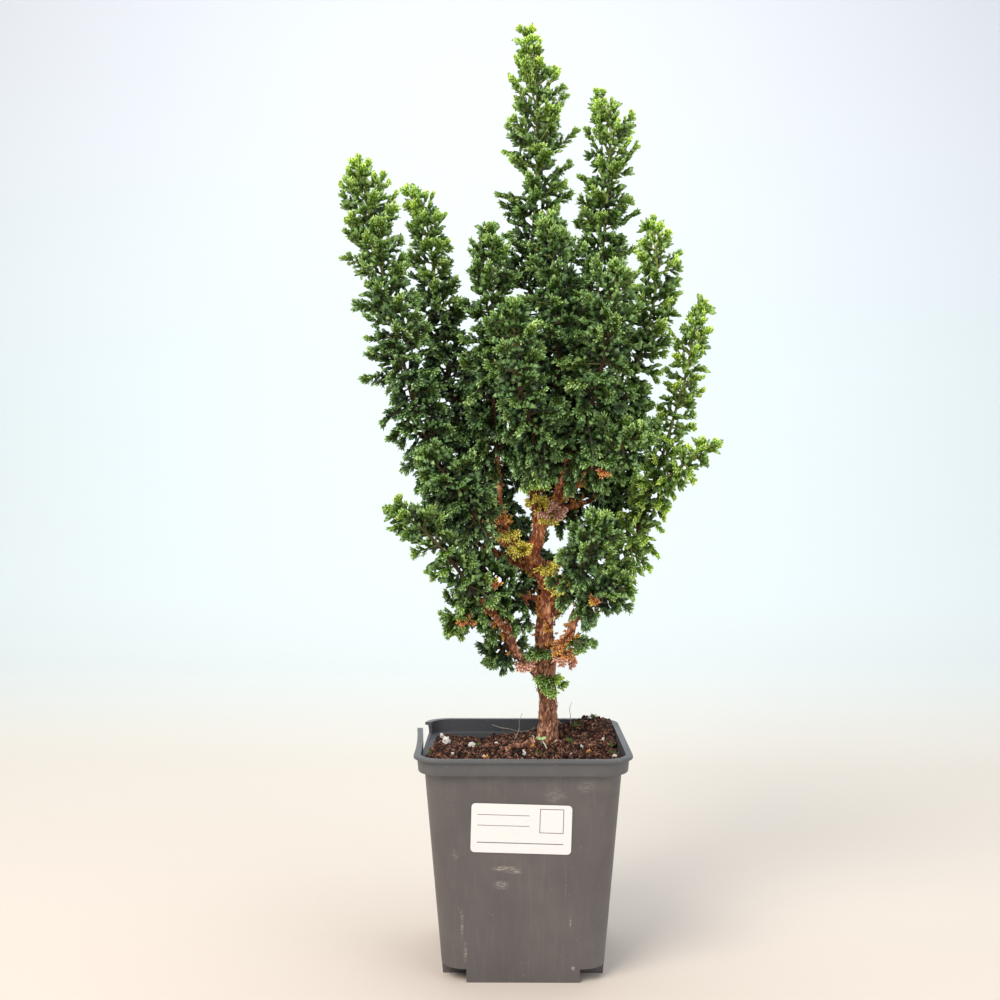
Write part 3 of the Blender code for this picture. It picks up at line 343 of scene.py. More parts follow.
class Tuft(NamedTuple):
    """A fan of short sprays that grows from bark: its root, way, length, number of sprays and youth."""

    root: tuple
    way: tuple
    length: float
    sprays: int
    youth: float


# Tufts on the wood, in millimetres, at their solids
TUFTS = {
    "sprig_trunk_low": Tuft((15, 6.8, 146), (0.1, -0.75, -0.35), 14, 5, 0.55),
    "sprig_trunk_mid": Tuft((10.5, 6.2, 161), (-0.25, -0.9, -0.35), 13, 5, 0.2),
    "sprig_right": Tuft((27, -0.2, 167.2), (0.95, -0.3, -0.3), 14, 4, 0.3),
    "yellow_fan_left": Tuft((0.4, 5.2, 215), (-0.35, -0.9, 0.35), 10, 4, 0.7),
    "yellow_fan_top": Tuft((8.2, 7.8, 240), (-0.1, -0.9, 0.35), 9, 3, 0.7),
    "yellow_fan_right": Tuft((18.9, 9.2, 193.5), (0.7, -0.8, 0.1), 8, 3, 0.6),
    "dead_spray_top": Tuft((13.2, 7.9, 236.5), (0.55, -0.8, 0.2), 13, 4, 0.7),
    "dead_spray_low": Tuft((20.4, 3.0, 157.2), (0.5, -0.8, -0.1), 9, 4, 0.6),
    "dead_spray_left": Tuft((0.4, 2.8, 155.2), (0.55, -0.75, -0.4), 5, 3, 0.4),
}

# More tufts by the trunk, which have no solid of their own
MORE_TUFTS = {
    "yellow_left": Tuft((-7.8, 2, 226), (-0.1, -0.8, -0.6), 10, 3, 0.35),
    "sprig_over": Tuft((6.5, -3.5, 253.5), (0.05, -0.7, -0.7), 12, 3, 0.75),
    "yellow_middle": Tuft((12.5, 8.5, 235), (0.6, -0.7, -0.35), 9, 3, 0.4),
    "yellow_right": Tuft((13, 8, 206), (0.6, -0.75, -0.2), 8, 3, 0.3),
    "yellow_low": Tuft((16.5, 9, 199.5), (0.7, -0.7, -0.3), 8, 3, 0.5),
}
TUFT_FINGER = 5.2 * MM
TUFT_STALK = (0.8 * MM, 0.6 * MM)

# Dry scales on the bark, with the bands of height where they cling, and a few on the soil as x and y
DRY_SCALES = 400
DRY_BANDS = ((146, 186), (172, 215), (225, 262), (232, 252))
FALLEN_SCALES = ((4, -9), (-20, -34), (33, -20))

# Dried sprays among the green ones, as x, y, z and spread in millimetres
DRY_SPRAYS = [
    (-30, -9, 178, 2.6), (41.4, -27, 257, 1.0), (-11, -6, 233, 1.8), (37, -15, 191, 1.0),
    (-14, -9, 198, 0.8), (22.5, -1, 164, 3.6), (24.5, 0, 157.5, 3.2),
]
DRY_SPRAY_FILL = 7

# Scuffs on the front wall as x, z, half-width and half-height in millimetres, and strength
SCUFFS = [
    (-9, 59, 8, 1.6, 0.9), (-5, 57.5, 5, 1.3, 0.7), (-11, 50.5, 4.5, 2.6, 0.8), (-33.8, 66, 2, 3.5, 0.35),
    (-30.6, 31, 0.9, 9, 0.6), (-29, 16, 1.1, 6, 0.75), (21.1, 50, 0.16, 16, 0.5), (23.6, 31, 0.5, 3, 1.0),
    (25, 7.5, 1.2, 1.8, 0.9), (-0.2, 111.1, 3.5, 0.25, 0.3), (16, 96, 7, 5, 0.3), (31, 101, 5, 4, 0.3),
]

# Stray fibres as points in millimetres: one on the back wall inside, and hairs that stand up
STRAYS = [
    [(-17, 48.6, 112.4), (-12, 48.7, 110.6), (-7, 48.8, 109.9), (-2, 48.7, 108.6), (4, 48.6, 108.9),
     (8, 48.4, 111.2)],
    [(27.5, 30, 116), (27.4, 30, 121), (26.9, 30, 125), (28.2, 30, 128.6)],
    [(-4, 29, 108), (-1.6, 30, 113), (-1.2, 30, 118), (0.2, 30, 122.2)],
    [(13, 6, 110), (7, 4, 113), (4, 3, 114.5)],
]
HAIR_RADII = (0.22 * MM, 0.12 * MM)

# Colours as stops of position and hex code: greys of the plastic, then bark, twigs, peat and paper
PLASTIC_GREYS = [(0.3, "#5b5655"), (0.55, "#625d5c"), (0.75, "#6a6461")]
BARK_PLATES = [(0.0, "#8c5a44"), (0.35, "#aa7456"), (0.62, "#bb8564"), (0.85, "#c89678"), (1.0, "#d4a88a")]
FRESH_BARK = [(0.0, "#b6623f"), (0.5, "#d98657"), (1.0, "#e8ac80")]
BARK_FLAKE_COLOURS = [(0.0, "#9c6048"), (0.4, "#cc8a64"), (0.7, "#dca884"), (1.0, "#f0ceb2")]
TWIG_COLOURS = [(0.0, "#472c1e"), (0.25, "#50331f"), (0.45, "#5e6430"), (0.75, "#97a44e"), (1.0, "#c3ca72")]
# Peat's near-black lowest stop is painted shade for the gaps between crumbs
PEAT_COLOURS = [(0.36, "#170c08"), (0.5, "#3a2017"), (0.68, "#64402f"), (0.85, "#8c6250"), (1.0, "#b89078")]
# The paper's colours are painted light: a darker warm floor that grows paler and cooler up the wall
PAPER_COLOURS_AND_PAINTED_LIGHT = [
    (0.0, "#dcd0c4"), (0.1, "#e0d8cc"), (0.22, "#eaeeea"), (0.35, "#ecf4f4"), (0.65, "#eef8fb"),
    (1.0, "#f0f5fc")]

# Leaves: name, colours along an old and a young finger (dark at its base as painted shade, pale at its tip as
# a painted highlight), tints of single fingers, and roughness
LEAVES = {
    "sprig": (
        "hinoki_scale_leaf",
        [(0.0, "#06120a"), (0.55, "#15301b"), (1.0, "#a4c48c")],
        [(0.0, "#628628"), (0.45, "#a8cc3e"), (1.0, "#eafa92")],
        [(0.0, "#94aeaa"), (0.35, "#b8ccb8"), (0.65, "#ecf6e4"), (1.0, "#fffac8")], 0.42),
    "yellow": (
        "yellowed_scale_leaf",
        [(0.0, "#b8aa44"), (1.0, "#ece464")], [(0.0, "#e8d850"), (1.0, "#fcf894")],
        [(0.0, "#f4ead0"), (1.0, "#ffffff")], 0.55),
    "dead": (
        "dead_scale_leaf",
        [(0.0, "#a87462"), (1.0, "#e0b09a")], [(0.0, "#d8a48e"), (1.0, "#f6dccc")],
        [(0.0, "#e4d0c4"), (1.0, "#fff6f0")], 0.7),
    "dry": (
        "dry_scale_leaf",
        [(0.0, "#a87458"), (1.0, "#dcb094")], [(0.0, "#d4a458"), (1.0, "#f4dc90")],
        [(0.0, "#ecc0ac"), (0.35, "#ffd8c4"), (0.6, "#ffe49c"), (0.85, "#fff8a0"), (1.0, "#f0c8b8")], 0.7),
}
# Brightness of a scale leaf by its edge value: painted shade at its base and a painted highlight at its tip
PAINTED_LEAF_LIGHT = (0.34, 2.4)
TUFT_SLOTS = {"sprig": "cypress_leaf", "yellow": "yellowed_leaf", "dead": "dead_leaf"}

# Kinds of the values stored on growing points, where they aren't plain numbers
ROW_KINDS = {"is_spot": "BOOLEAN", "kind": "INT", "turn": "FLOAT_VECTOR", "size": "FLOAT_VECTOR"}

# Surfaces with one grain: their colours, the grain's size and roughness
PLAIN_GRAINS = {
    "dry_root_hair": ([(0.3, "#968c7c"), (0.7, "#beb6a6")], 2 * MM, 0.7),
    "expanded_perlite": ([(0.3, "#c9c4b8"), (0.7, "#f2f0ea")], 0.8 * MM, 0.8),
    "green_moss": ([(0.3, "#44582a"), (0.7, "#869a50")], 1.5 * MM, 0.6),
    "seedling_leaf": ([(0.3, "#9cc07c"), (0.7, "#b6d394")], 1.2 * MM, 0.45),
    "seedling_stem": ([(0.3, "#e2e4cc"), (0.7, "#f2f2e2")], 1.2 * MM, 0.45),
}


def linear(code):
    """The linear red, green, blue and alpha of an sRGB hex colour."""
    parts = [int(code[i:i + 2], 16) / 255 for i in (1, 3, 5)]
    return tuple(p / 12.92 if p <= 0.04045 else ((p + 0.055) / 1.055) ** 2.4 for p in parts) + (1.0,)


def add(tree, kind, inputs=None, **settings):
    """Add a node with its settings, and set or link its inputs by name or number."""
    made = tree.nodes.new(kind)
    for name, value in settings.items():
        setattr(made, name, value)
    for name, value in (inputs or {}).items():
        if isinstance(value, bpy.types.NodeSocket):
            tree.links.new(value, made.inputs[name])
        else:
            made.inputs[name].default_value = value
    return made


class Surface:
    """A material with a Principled shader, and short ways to build its colour and relief."""

    def __init__(self, name, roughness, ior=1.45):
        self.made = bpy.data.materials.new(name)
        self.made.use_nodes = True
        self.tree = self.made.node_tree
        self.shader = self.tree.nodes["Principled BSDF"]
        for socket, value in (("Roughness", roughness), ("IOR", ior), ("Metallic", 0)):
            self.shader.inputs[socket].default_value = value

    def node(self, kind, inputs=None, **settings):
        """Add a shader node."""
        return add(self.tree, "ShaderNode" + kind, inputs, **settings)

    def place(self):
        """The place on the object."""
        return self.node("TexCoord").outputs["Object"]

    def split(self, place):
        """The X, Y and Z of a place, by name."""
        return self.node("SeparateXYZ", {"Vector": place}).outputs

    def stretched(self, place, scale, turn=0.0):
        """A place scaled along each axis and turned about Y."""
        return self.node("Mapping", {
            "Vector": place, "Rotation": (0, turn, 0), "Scale": scale}).outputs["Vector"]

    def attribute(self, name):
        """A value stored on the mesh."""
        return self.node("Attribute", attribute_name=name).outputs["Fac"]

    def noise(self, place, size, detail, roughness=0.5):
        """Noise with features of a size in metres."""
        return self.node("TexNoise", {
            "Vector": place, "Scale": 1 / size, "Detail": detail, "Roughness": roughness}).outputs["Fac"]

    def span(self, value, low, high, to_low=0.0, to_high=1.0, **settings):
        """A value from low to high, taken to another range and held at its ends."""
        return self.node("MapRange", {
            "Value": value, "From Min": low, "From Max": high, "To Min": to_low, "To Max": to_high},
            **settings).outputs["Result"]

    def compute(self, operation, *values):
        """One value from several by a Math operation, two at a time."""
        whole = values[0]
        for value in values[1:]:
            whole = self.node("Math", {0: whole, 1: value}, operation=operation).outputs[0]
        return whole

    def vector(self, operation, first, second, output="Vector"):
        """A vector or value from two vectors."""
        return self.node("VectorMath", {0: first, 1: second}, operation=operation).outputs[output]

    def colours(self, value, stops):
        """The colour for a value, from stops of position and hex colour."""
        ramp = self.node("ValToRGB", {"Fac": value})
        marks = ramp.color_ramp.elements
        while len(marks) < len(stops):
            marks.new(0.5)
        for mark, (position, code) in zip(marks, stops):
            mark.position = position
            mark.color = linear(code)
        return ramp.outputs["Color"]

    def over(self, share, under, upper, blend="MIX"):
        """A colour laid over another by a share. A Mix node has its colours at 6 and 7, and its own at 2."""
        return self.node("Mix", {
            0: share, 6: under, 7: upper}, data_type="RGBA", blend_type=blend).outputs[2]

    def lit(self, colour, share):
        """A colour made darker or lighter by a share."""
        return self.node("VectorMath", {0: colour, "Scale": share}, operation="SCALE").outputs["Vector"]

    def relief(self, height, depth, strength=1.0):
        """Drive the shader's normal by a height, with its full depth in metres."""
        bump = self.node("Bump", {"Height": height, "Distance": depth, "Strength": strength})
        self.tree.links.new(bump.outputs["Normal"], self.shader.inputs["Normal"])

    def done(self, colour):
        """The material, with its base colour linked."""
        self.tree.links.new(colour, self.shader.inputs["Base Color"])
        return self.made


def moulded_plastic():
    """Injection-moulded polypropylene: dark grey and satin, with flow streaks, scuffs and soil dust, and
    painted shade on its inside walls.
    """
    skin = Surface("moulded_polypropylene", 0.46, 1.49)
    place = skin.place()
    parts = skin.split(place)
    base = skin.colours(skin.noise(place, 34 * MM, 4), PLASTIC_GREYS)
    streaks = skin.noise(skin.stretched(place, (1, 1, 0.05)), 1.6 * MM, 3)
    grit = skin.noise(place, 1.1 * MM, 5, 0.7)
    patches = []
    for x, z, half_x, half_z, strength in SCUFFS:
        moved = skin.vector("SUBTRACT", place, (x * MM, 0, z * MM))
        shrunk = skin.vector("MULTIPLY", moved, (1 / (half_x * MM), 0, 1 / (half_z * MM)))
        away = skin.node("VectorMath", {0: shrunk}, operation="LENGTH").outputs["Value"]
        patches.append(skin.span(away, 0.2, 1.15, strength, 0, interpolation_type="SMOOTHSTEP"))
    front = skin.compute("LESS_THAN", parts["Y"], -38 * MM)
    scratches = skin.noise(skin.stretched(place, (0.35, 1.0, 1.6), math.radians(18)), 0.9 * MM, 4, 0.75)
    rubbed = skin.span(scratches, 0.44, 0.62)
    scuffed = skin.compute("MULTIPLY", skin.compute("MAXIMUM", *patches), front, rubbed)
    dusty = skin.span(skin.noise(place, 9 * MM, 5), 0.5, 0.72)
    near_rim = skin.span(parts["Z"], 84 * MM, 104 * MM, 0.05, 0.25)
    # Walls that face in towards the middle, the pot's inside, get a darker grey as painted shade
    level = skin.vector("MULTIPLY", place, (1, 1, 0))
    normal = skin.node("NewGeometry").outputs["Normal"]
    facing = skin.vector("DOT_PRODUCT", level, normal, "Value")
    speck = skin.node("TexVoronoi", {"Vector": place, "Scale": 1 / (4.2 * MM)}).outputs["Distance"]
    for share, code in (
            (skin.span(streaks, 0.5, 0.8, 0, 0.16), "#89837e"), (scuffed, "#bdb6ab"),
            (skin.compute("MULTIPLY", near_rim, dusty), "#8a7c70"),
            (skin.span(parts["Z"], 99 * MM, 110 * MM, 0, 0.65), "#5b5f62"),
            (skin.compute("LESS_THAN", facing, -5 * MM), "#4a4b50"),
            (skin.compute("LESS_THAN", speck, 0.045), "#a89e92")):
        base = skin.over(share, base, linear(code))
    skin.tree.links.new(skin.span(grit, 0.3, 0.7, 0.4, 0.58), skin.shader.inputs["Roughness"])
    skin.relief(grit, 0.04 * MM, 0.6)
    return skin.done(base)


def label_paper():
    """Coated white label paper: bright and smooth, with plain grey ruled lines and an empty box."""
    skin = Surface("coated_label_paper", 0.5, 1.5)
    place = skin.place()
    x, z = LABEL_PLACE
    centred = skin.node("Mapping", {
        "Vector": place, "Location": (x, 0, z), "Rotation": (0, -LABEL_TURN, 0)}, vector_type="TEXTURE")
    parts = skin.split(centred.outputs["Vector"])
    marks = []
    for low_x, high_x, low_z, high_z in LABEL_MARKS:
        marks.append(skin.compute("MULTIPLY", *(
            skin.compute(side, parts[axis], edge * MM) for axis, side, edge in (
                ("X", "GREATER_THAN", low_x), ("X", "LESS_THAN", high_x),
                ("Z", "GREATER_THAN", low_z), ("Z", "LESS_THAN", high_z)))))
    grain = skin.noise(place, 0.5 * MM, 3)
    paper = skin.colours(grain, [(0.3, "#eeeae8"), (0.7, "#f8f5f3")])
    skin.relief(grain, 0.01 * MM)
    return skin.done(skin.over(skin.compute("MAXIMUM", *marks), paper, linear("#77747a")))


def scale_leaf(name, old, young, tints, roughness):
    """Waxy scale leaves: brighter with youth, dark and bluish inside by painted shade, and paler at each
    leaf's tip by a painted highlight.
    """
    skin = Surface(name, roughness)
    skin.shader.inputs["Specular IOR Level"].default_value = 0.62
    along = skin.attribute("along")
    base = skin.over(skin.attribute("age"), skin.colours(along, old), skin.colours(along, young))
    base = skin.over(1.0, base, skin.colours(skin.attribute("tint"), tints), "MULTIPLY")
    # The edge value paints light on the leaves: painted shade at each scale's base and a painted highlight at
    # its tip
    return skin.done(skin.lit(base, skin.span(skin.attribute("edge"), 0, 1, *PAINTED_LEAF_LIGHT)))


def flaky_bark():
    """Cypress bark: red-brown plates that shred to orange below, with painted shade that darkens the cracks,
    a painted highlight on the raised plates and pale edges.
    """
    skin = Surface("flaky_cypress_bark", 0.85)
    place = skin.place()
    tone = skin.attribute("tone")
    fibre = skin.noise(skin.stretched(place, (1, 1, 0.3)), 0.55 * MM, 4, 0.65)
    height = skin.span(skin.split(place)["Z"], 150 * MM, 195 * MM)
    base = skin.over(height, skin.colours(tone, BARK_PLATES), skin.colours(tone, FRESH_BARK))
    shade = skin.span(fibre, 0.3, 0.7, 0.65, 1.5)
    # The lift paints light: painted shade in the cracks and a painted highlight on the raised plates
    crack = skin.span(skin.attribute("lift"), 0, 1, 0.42, 1.2)
    skin.relief(fibre, 0.25 * MM)
    return skin.done(skin.lit(base, skin.compute("MULTIPLY", shade, crack)))


def bark_flake():
    """Loose bark: thin dry plates, brown, orange or pale by their own tint, greyer where they dried."""
    skin = Surface("peeling_bark_flake", 0.85)
    plates = skin.colours(skin.attribute("tint"), BARK_FLAKE_COLOURS)
    fibre = skin.noise(skin.stretched(skin.place(), (1, 1, 0.3)), 0.5 * MM, 4, 0.65)
    skin.relief(fibre, 0.2 * MM)
    return skin.done(skin.lit(plates, skin.span(fibre, 0.3, 0.7, 0.65, 1.25)))


def twig_skin():
    """Young cypress twigs: red-brown where old, then olive, then pale yellow-green near the tips."""
    skin = Surface("young_cypress_twig", 0.6)
    mottle = skin.noise(skin.place(), 0.9 * MM, 3)
    skin.relief(mottle, 0.15 * MM)
    return skin.done(skin.lit(
        skin.colours(skin.attribute("age"), TWIG_COLOURS), skin.span(mottle, 0.3, 0.7, 0.7, 1.2)))


def peat():
    """Fibrous peat: red-brown crumbs and threads, a little damp, made nearly black in the gaps by painted
    shade.
    """
    skin = Surface("fibrous_peat", 0.9, 1.35)
    place = skin.place()
    crumb = skin.noise(place, 0.9 * MM, 5, 0.7)
    grain = skin.node("TexVoronoi", {"Vector": place, "Scale": 1 / (1.3 * MM)}).outputs
    grain_tone = skin.node("SeparateColor", {"Color": grain["Color"]}).outputs["Red"]
    # Each grain is lighter in its middle and darker at its rim: painted shade in the gaps between grains,
    # over the grains' own tones
    grain_tone_and_gap_shade = skin.compute(
        "ADD", skin.span(grain["Distance"], 0.25, 0.75, 0.12, -0.22), skin.span(grain_tone, 0, 1, -0.12, 0.2))
    patch = skin.noise(place, 7 * MM, 2)
    mixed = skin.compute(
        "ADD", skin.compute("MULTIPLY", crumb, 0.7), grain_tone_and_gap_shade, skin.attribute("tint"),
        skin.compute("MULTIPLY", patch, 0.35))
    skin.relief(crumb, 0.5 * MM)
    return skin.done(skin.colours(mixed, PEAT_COLOURS))


def plain_grain(name, colours, grain, roughness):
    """A natural surface with one grain: its colours are stops over a noise of that size."""
    skin = Surface(name, roughness)
    cloud = skin.noise(skin.place(), grain, 4)
    skin.relief(cloud, 0.2 * grain)
    return skin.done(skin.colours(cloud, colours))


def studio_paper():
    """Seamless studio paper with painted light: warm and darker near the object, and cool and paler up the
    wall.
    """
    skin = Surface("seamless_studio_paper", 0.9, 1.5)
    parts = skin.split(skin.place())
    away = skin.node("Math", {0: parts["Y"], 1: 0.35, 2: parts["Z"]}, operation="MULTIPLY_ADD").outputs[0]
    return skin.done(skin.colours(skin.span(away, 0, 1.5), PAPER_COLOURS_AND_PAINTED_LIGHT))


def mesh_from(bm, outward=True):
    """A mesh from a bmesh, with its faces turned to point out if asked."""
    if outward:
        bmesh.ops.recalc_face_normals(bm, faces=bm.faces)
    mesh = bpy.data.meshes.new("shape")
    bm.to_mesh(mesh)
    bm.free()
    return mesh


def in_scene(name, data):
    """A new object of its data, in the scene."""
    made = bpy.data.objects.new(name, data)
    bpy.context.scene.collection.objects.link(made)
    return made


def piece(name, mesh, surface=None, smooth_angle=None):
    """An object of a mesh, with one surface and shaded smooth up to an angle where those are given."""
    mesh.name = name
    if smooth_angle is not None:
        mesh.shade_smooth()
        mesh.set_sharp_from_angle(angle=math.radians(smooth_angle))
    if surface is not None:
        mesh.materials.clear()
        mesh.materials.append(surface)
    return in_scene(name, mesh)


def evaluated_mesh(thing):
    """The mesh that an object's modifiers make. The object is removed."""
    evaluated = thing.evaluated_get(bpy.context.evaluated_depsgraph_get())
    mesh = bpy.data.meshes.new_from_object(evaluated)
    bpy.data.objects.remove(thing, do_unlink=True)
    return mesh


def clamp(value, low=0.0, high=1.0):
    """A value held between two ends."""
    return max(low, min(high, value))


def rounded_square(half, corner, corner_steps, side_steps):
    """Points of a square with rounded corners, anticlockwise from its right side."""
    points = []
    for quarter in range(4):
        turn = Matrix.Rotation(quarter * math.pi / 2, 2)
        middle = Vector((half - corner, half - corner))
        for step in range(corner_steps + 1):
            angle = step / corner_steps * math.pi / 2
            points.append(turn @ (middle + corner * Vector((math.cos(angle), math.sin(angle)))))
        for step in range(1, side_steps):
            along = 1 - 2 * step / side_steps
            points.append(turn @ Vector((along * (half - corner), half)))
    return points


def loft(bm, rings):
    """Skin rings of equal point counts, and cap the first and the last. The rings' vertices come back."""
    skins = [[bm.verts.new(point) for point in ring] for ring in rings]
    count = len(skins[0])
    for low, high in zip(skins, skins[1:]):
        for i in range(count):
            j = (i + 1) % count
            bm.faces.new((low[i], low[j], high[j], high[i]))
    bm.faces.new(reversed(skins[0]))
    bm.faces.new(skins[-1])
    return skins


def loft_mesh(rings):
    """A closed mesh through rings of equal point counts."""
    bm = bmesh.new()
    loft(bm, rings)
    return mesh_from(bm)


def square_loft(name, profile):
    """A solid through rounded squares, each given as half-width, corner radius and height."""
    return piece(name, loft_mesh([
        [(point.x, point.y, z) for point in rounded_square(half, corner, CORNER_STEPS, 4)]
        for half, corner, z in profile]))


def box(name, low, high):
    """A box between two corners, as a cutter."""
    bm = bmesh.new()
    low, high = Vector(low), Vector(high)
    middle = Matrix.Translation((low + high) / 2)
    bmesh.ops.create_cube(bm, size=1, matrix=middle @ Matrix.Diagonal((*(high - low), 1)))
    return piece(name, mesh_from(bm))


def combine(thing, operation, cutters):
    """The mesh of an object after one Boolean with each cutter in turn. All of them are removed."""
    for cutter in cutters:
        step = thing.modifiers.new("combine", "BOOLEAN")
        step.operation = operation
        step.object = cutter
    mesh = evaluated_mesh(thing)
    for cutter in cutters:
        bpy.data.objects.remove(cutter, do_unlink=True)
    return mesh


def body_half(z):
    """Half-width of the pot's outside at a height on its tapered wall."""
    return BASE_HALF + (BODY_TOP_HALF - BASE_HALF) * z / LEDGE_Z


def corner_boxes(name, inner, top):
    """Four boxes that take in the pot's raised floor corners."""
    boxes = []
    for corner in CORNERS:
        low, high = zip(*(sorted((side * inner, side * LIP_HALF)) for side in corner))
        boxes.append(box(name, (*low, -POT_WALL), (*high, top)))
    return boxes


def pot_inside():
    """The space inside the pot above its floor, with the four raised floor corners left out."""
    inset = POT_WALL
    ledge = LEDGE_Z + inset
    inside = square_loft("pot_inside", [
        (body_half(inset) - inset, BASE_CORNER - inset, inset),
        (body_half(LEDGE_Z) - inset, BODY_TOP_CORNER - inset, ledge - 0.2 * MM),
        (BAND_HALF - inset, BAND_CORNER - inset, ledge + LEDGE_RISE),
        (BAND_TOP_HALF - inset, BAND_CORNER - inset, POT_HEIGHT + 5 * MM),
    ])
    corners = corner_boxes("floor_corner", FOOT_HALF - POT_WALL, FOOT_RAISE + POT_WALL)
    return piece("pot_inside_cut", combine(inside, "DIFFERENCE", corners))


def torn(y, z, seed):
    """How far a torn edge strays from its line at a place."""
    return 0.7 * MM * noise.noise(Vector((y / (2.6 * MM), z / (2.6 * MM), seed)))


def sprung_strip():
    """The torn strip of band and lip: joined at its front end, ragged below, bent out at the back."""
    rings = []
    for station in range(STRIP_STATIONS):
        t = station / (STRIP_STATIONS - 1)
        y = TEAR_FRONT - 2 * MM + (STRIP_END - TEAR_FRONT + 2 * MM) * t
        out = STRIP_SPRING * t ** 1.6
        ragged = torn(y, 0, 3) * min(1.0, 4 * t)
        section = [
            (BAND_HALF - POT_WALL + 0.4 * MM, STRIP_FOOT_Z + 0.5 * MM + ragged),
            (BAND_HALF + 0.3 * MM, STRIP_FOOT_Z + ragged),
            (BAND_TOP_HALF - 0.1 * MM, POT_HEIGHT - LIP_THICK),
            (LIP_HALF - 0.05 * MM, POT_HEIGHT - LIP_THICK + 0.1 * MM),
            (LIP_HALF - 0.05 * MM, POT_HEIGHT - 0.05 * MM),
            (BAND_TOP_HALF - POT_WALL + 0.05 * MM, POT_HEIGHT - 0.05 * MM),
        ]
        slip = torn(0, station, 5) * max(0.0, t - 0.9) * 10
        rings.append([
            (-(across + out), y + slip * (z - STRIP_FOOT_Z) / (5 * MM), z - 0.4 * MM * t)
            for across, z in section])
    return piece("sprung_strip", loft_mesh(rings))


def make_pot(surface):
    """Pot: a hollow rounded square with soft moulded edges, raised corners, drains and a torn rim."""
    soft = POT_EDGE
    pot = square_loft("pot_outside", [
        (BASE_HALF, BASE_CORNER, 0),
        (BODY_TOP_HALF, BODY_TOP_CORNER, LEDGE_Z - soft),
        (BODY_TOP_HALF + 0.3 * soft, BODY_TOP_CORNER, LEDGE_Z),
        (BAND_HALF - soft, BAND_CORNER - soft, LEDGE_Z + 0.7 * LEDGE_RISE),
        (BAND_HALF, BAND_CORNER, LEDGE_Z + LEDGE_RISE + soft),
        (BAND_TOP_HALF, BAND_CORNER, POT_HEIGHT - LIP_THICK - soft),
        (BAND_TOP_HALF + soft, BAND_CORNER + soft, POT_HEIGHT - LIP_THICK),
        (LIP_HALF - 0.3 * soft, LIP_CORNER, POT_HEIGHT - LIP_THICK + 0.3 * soft),
        (LIP_HALF, LIP_CORNER, POT_HEIGHT - LIP_THICK + soft),
        (LIP_HALF, LIP_CORNER, POT_HEIGHT - soft),
        (LIP_HALF - 0.3 * soft, LIP_CORNER, POT_HEIGHT - 0.3 * soft),
        (LIP_HALF - soft, LIP_CORNER - soft, POT_HEIGHT),
    ])
    cuts = [pot_inside()] + corner_boxes("foot_cut", FOOT_HALF, FOOT_RAISE)
    tear_foot = LEDGE_Z + POT_WALL + LEDGE_RISE + 0.15 * MM
    outline = []
    for step in range(TEAR_STEPS + 1):
        y = TEAR_FRONT + (TEAR_BACK - TEAR_FRONT) * step / TEAR_STEPS
        outline.append((y, tear_foot + 0.5 * torn(y, 0, 1) + 0.2 * MM))
    for step in range(1, TEAR_END_STEPS + 1):
        z = tear_foot + step / TEAR_END_STEPS * (POT_HEIGHT - tear_foot + 2 * MM)
        outline.append((TEAR_BACK + 1.6 * torn(0, z, 2), z))
    outline.append((TEAR_FRONT, POT_HEIGHT + 2 * MM))
    tear_sides = (-LIP_HALF - 5 * MM, -BAND_HALF + POT_WALL + 1.5 * MM)
    cuts.append(piece("tear_cut", loft_mesh([[(x, y, z) for y, z in outline] for x in tear_sides])))
    for side_x in (-1, 1):
        for side_y in (-1, 1):
            bm = bmesh.new()
            place = Matrix.Translation((side_x * DRAIN_PLACE, side_y * DRAIN_PLACE, FOOT_RAISE))
            bmesh.ops.create_cone(
                bm, cap_ends=True, segments=DRAIN_SIDES, radius1=DRAIN_RADIUS, radius2=DRAIN_RADIUS,
                depth=DRAIN_DEPTH, matrix=place)
            cuts.append(piece("drain_cut", mesh_from(bm)))
    shell = piece("pot_shell_cut", combine(pot, "DIFFERENCE", cuts))
    return piece("moulded_pot", combine(shell, "UNION", [sprung_strip()]), surface, POT_ANGLE)


def make_label(surface):
    """Label: a rounded rectangle of paper that lies on the tapered front wall."""
    width, height = LABEL_SIZE
    taper = math.atan2(BODY_TOP_HALF - BASE_HALF, LEDGE_Z)
    x, z = LABEL_PLACE
    off_wall = LABEL_OFF_WALL / math.cos(taper)
    place = Matrix.Translation((x, -body_half(z) - off_wall, z))
    turn = Matrix.Rotation(math.pi / 2 + taper, 4, "X") @ Matrix.Rotation(LABEL_TURN, 4, "Z")
    outline = []
    for quarter, (sign_x, sign_y) in enumerate(CORNERS):
        middle = Vector((sign_x * (width / 2 - LABEL_CORNER), sign_y * (height / 2 - LABEL_CORNER)))
        for step in range(LABEL_CORNER_STEPS + 1):
            angle = (quarter + step / LABEL_CORNER_STEPS) * math.pi / 2
            outline.append(middle + LABEL_CORNER * Vector((math.cos(angle), math.sin(angle))))
    return piece("paper_label", loft_mesh([
        [place @ turn @ Vector((point.x, point.y, level)) for point in outline]
        for level in (-LABEL_THICK / 2, LABEL_THICK / 2)]), surface)


def bump(x, y, place):
    """Height of a round heap or dip: its x, y, spread and height."""
    middle_x, middle_y, spread, height = place
    reach = ((x - middle_x) ** 2 + (y - middle_y) ** 2) / spread ** 2
    return height * math.exp(-reach)


def soil_height(x, y):
    """Height of the soil's top, without its crumbs."""
    level = SOIL_LEVEL + bump(x, y, SOIL_HEAP) + bump(x, y, SOIL_DIP)
    level += SOIL_FRONT_RISE * max(0.0, -y / BODY_TOP_HALF)
    lumps = noise.noise(Vector((x, y, 0)) / (9 * MM)) + 0.6 * noise.noise(Vector((x, y, 9)) / (4 * MM))
    return level + SOIL_LUMP * lumps


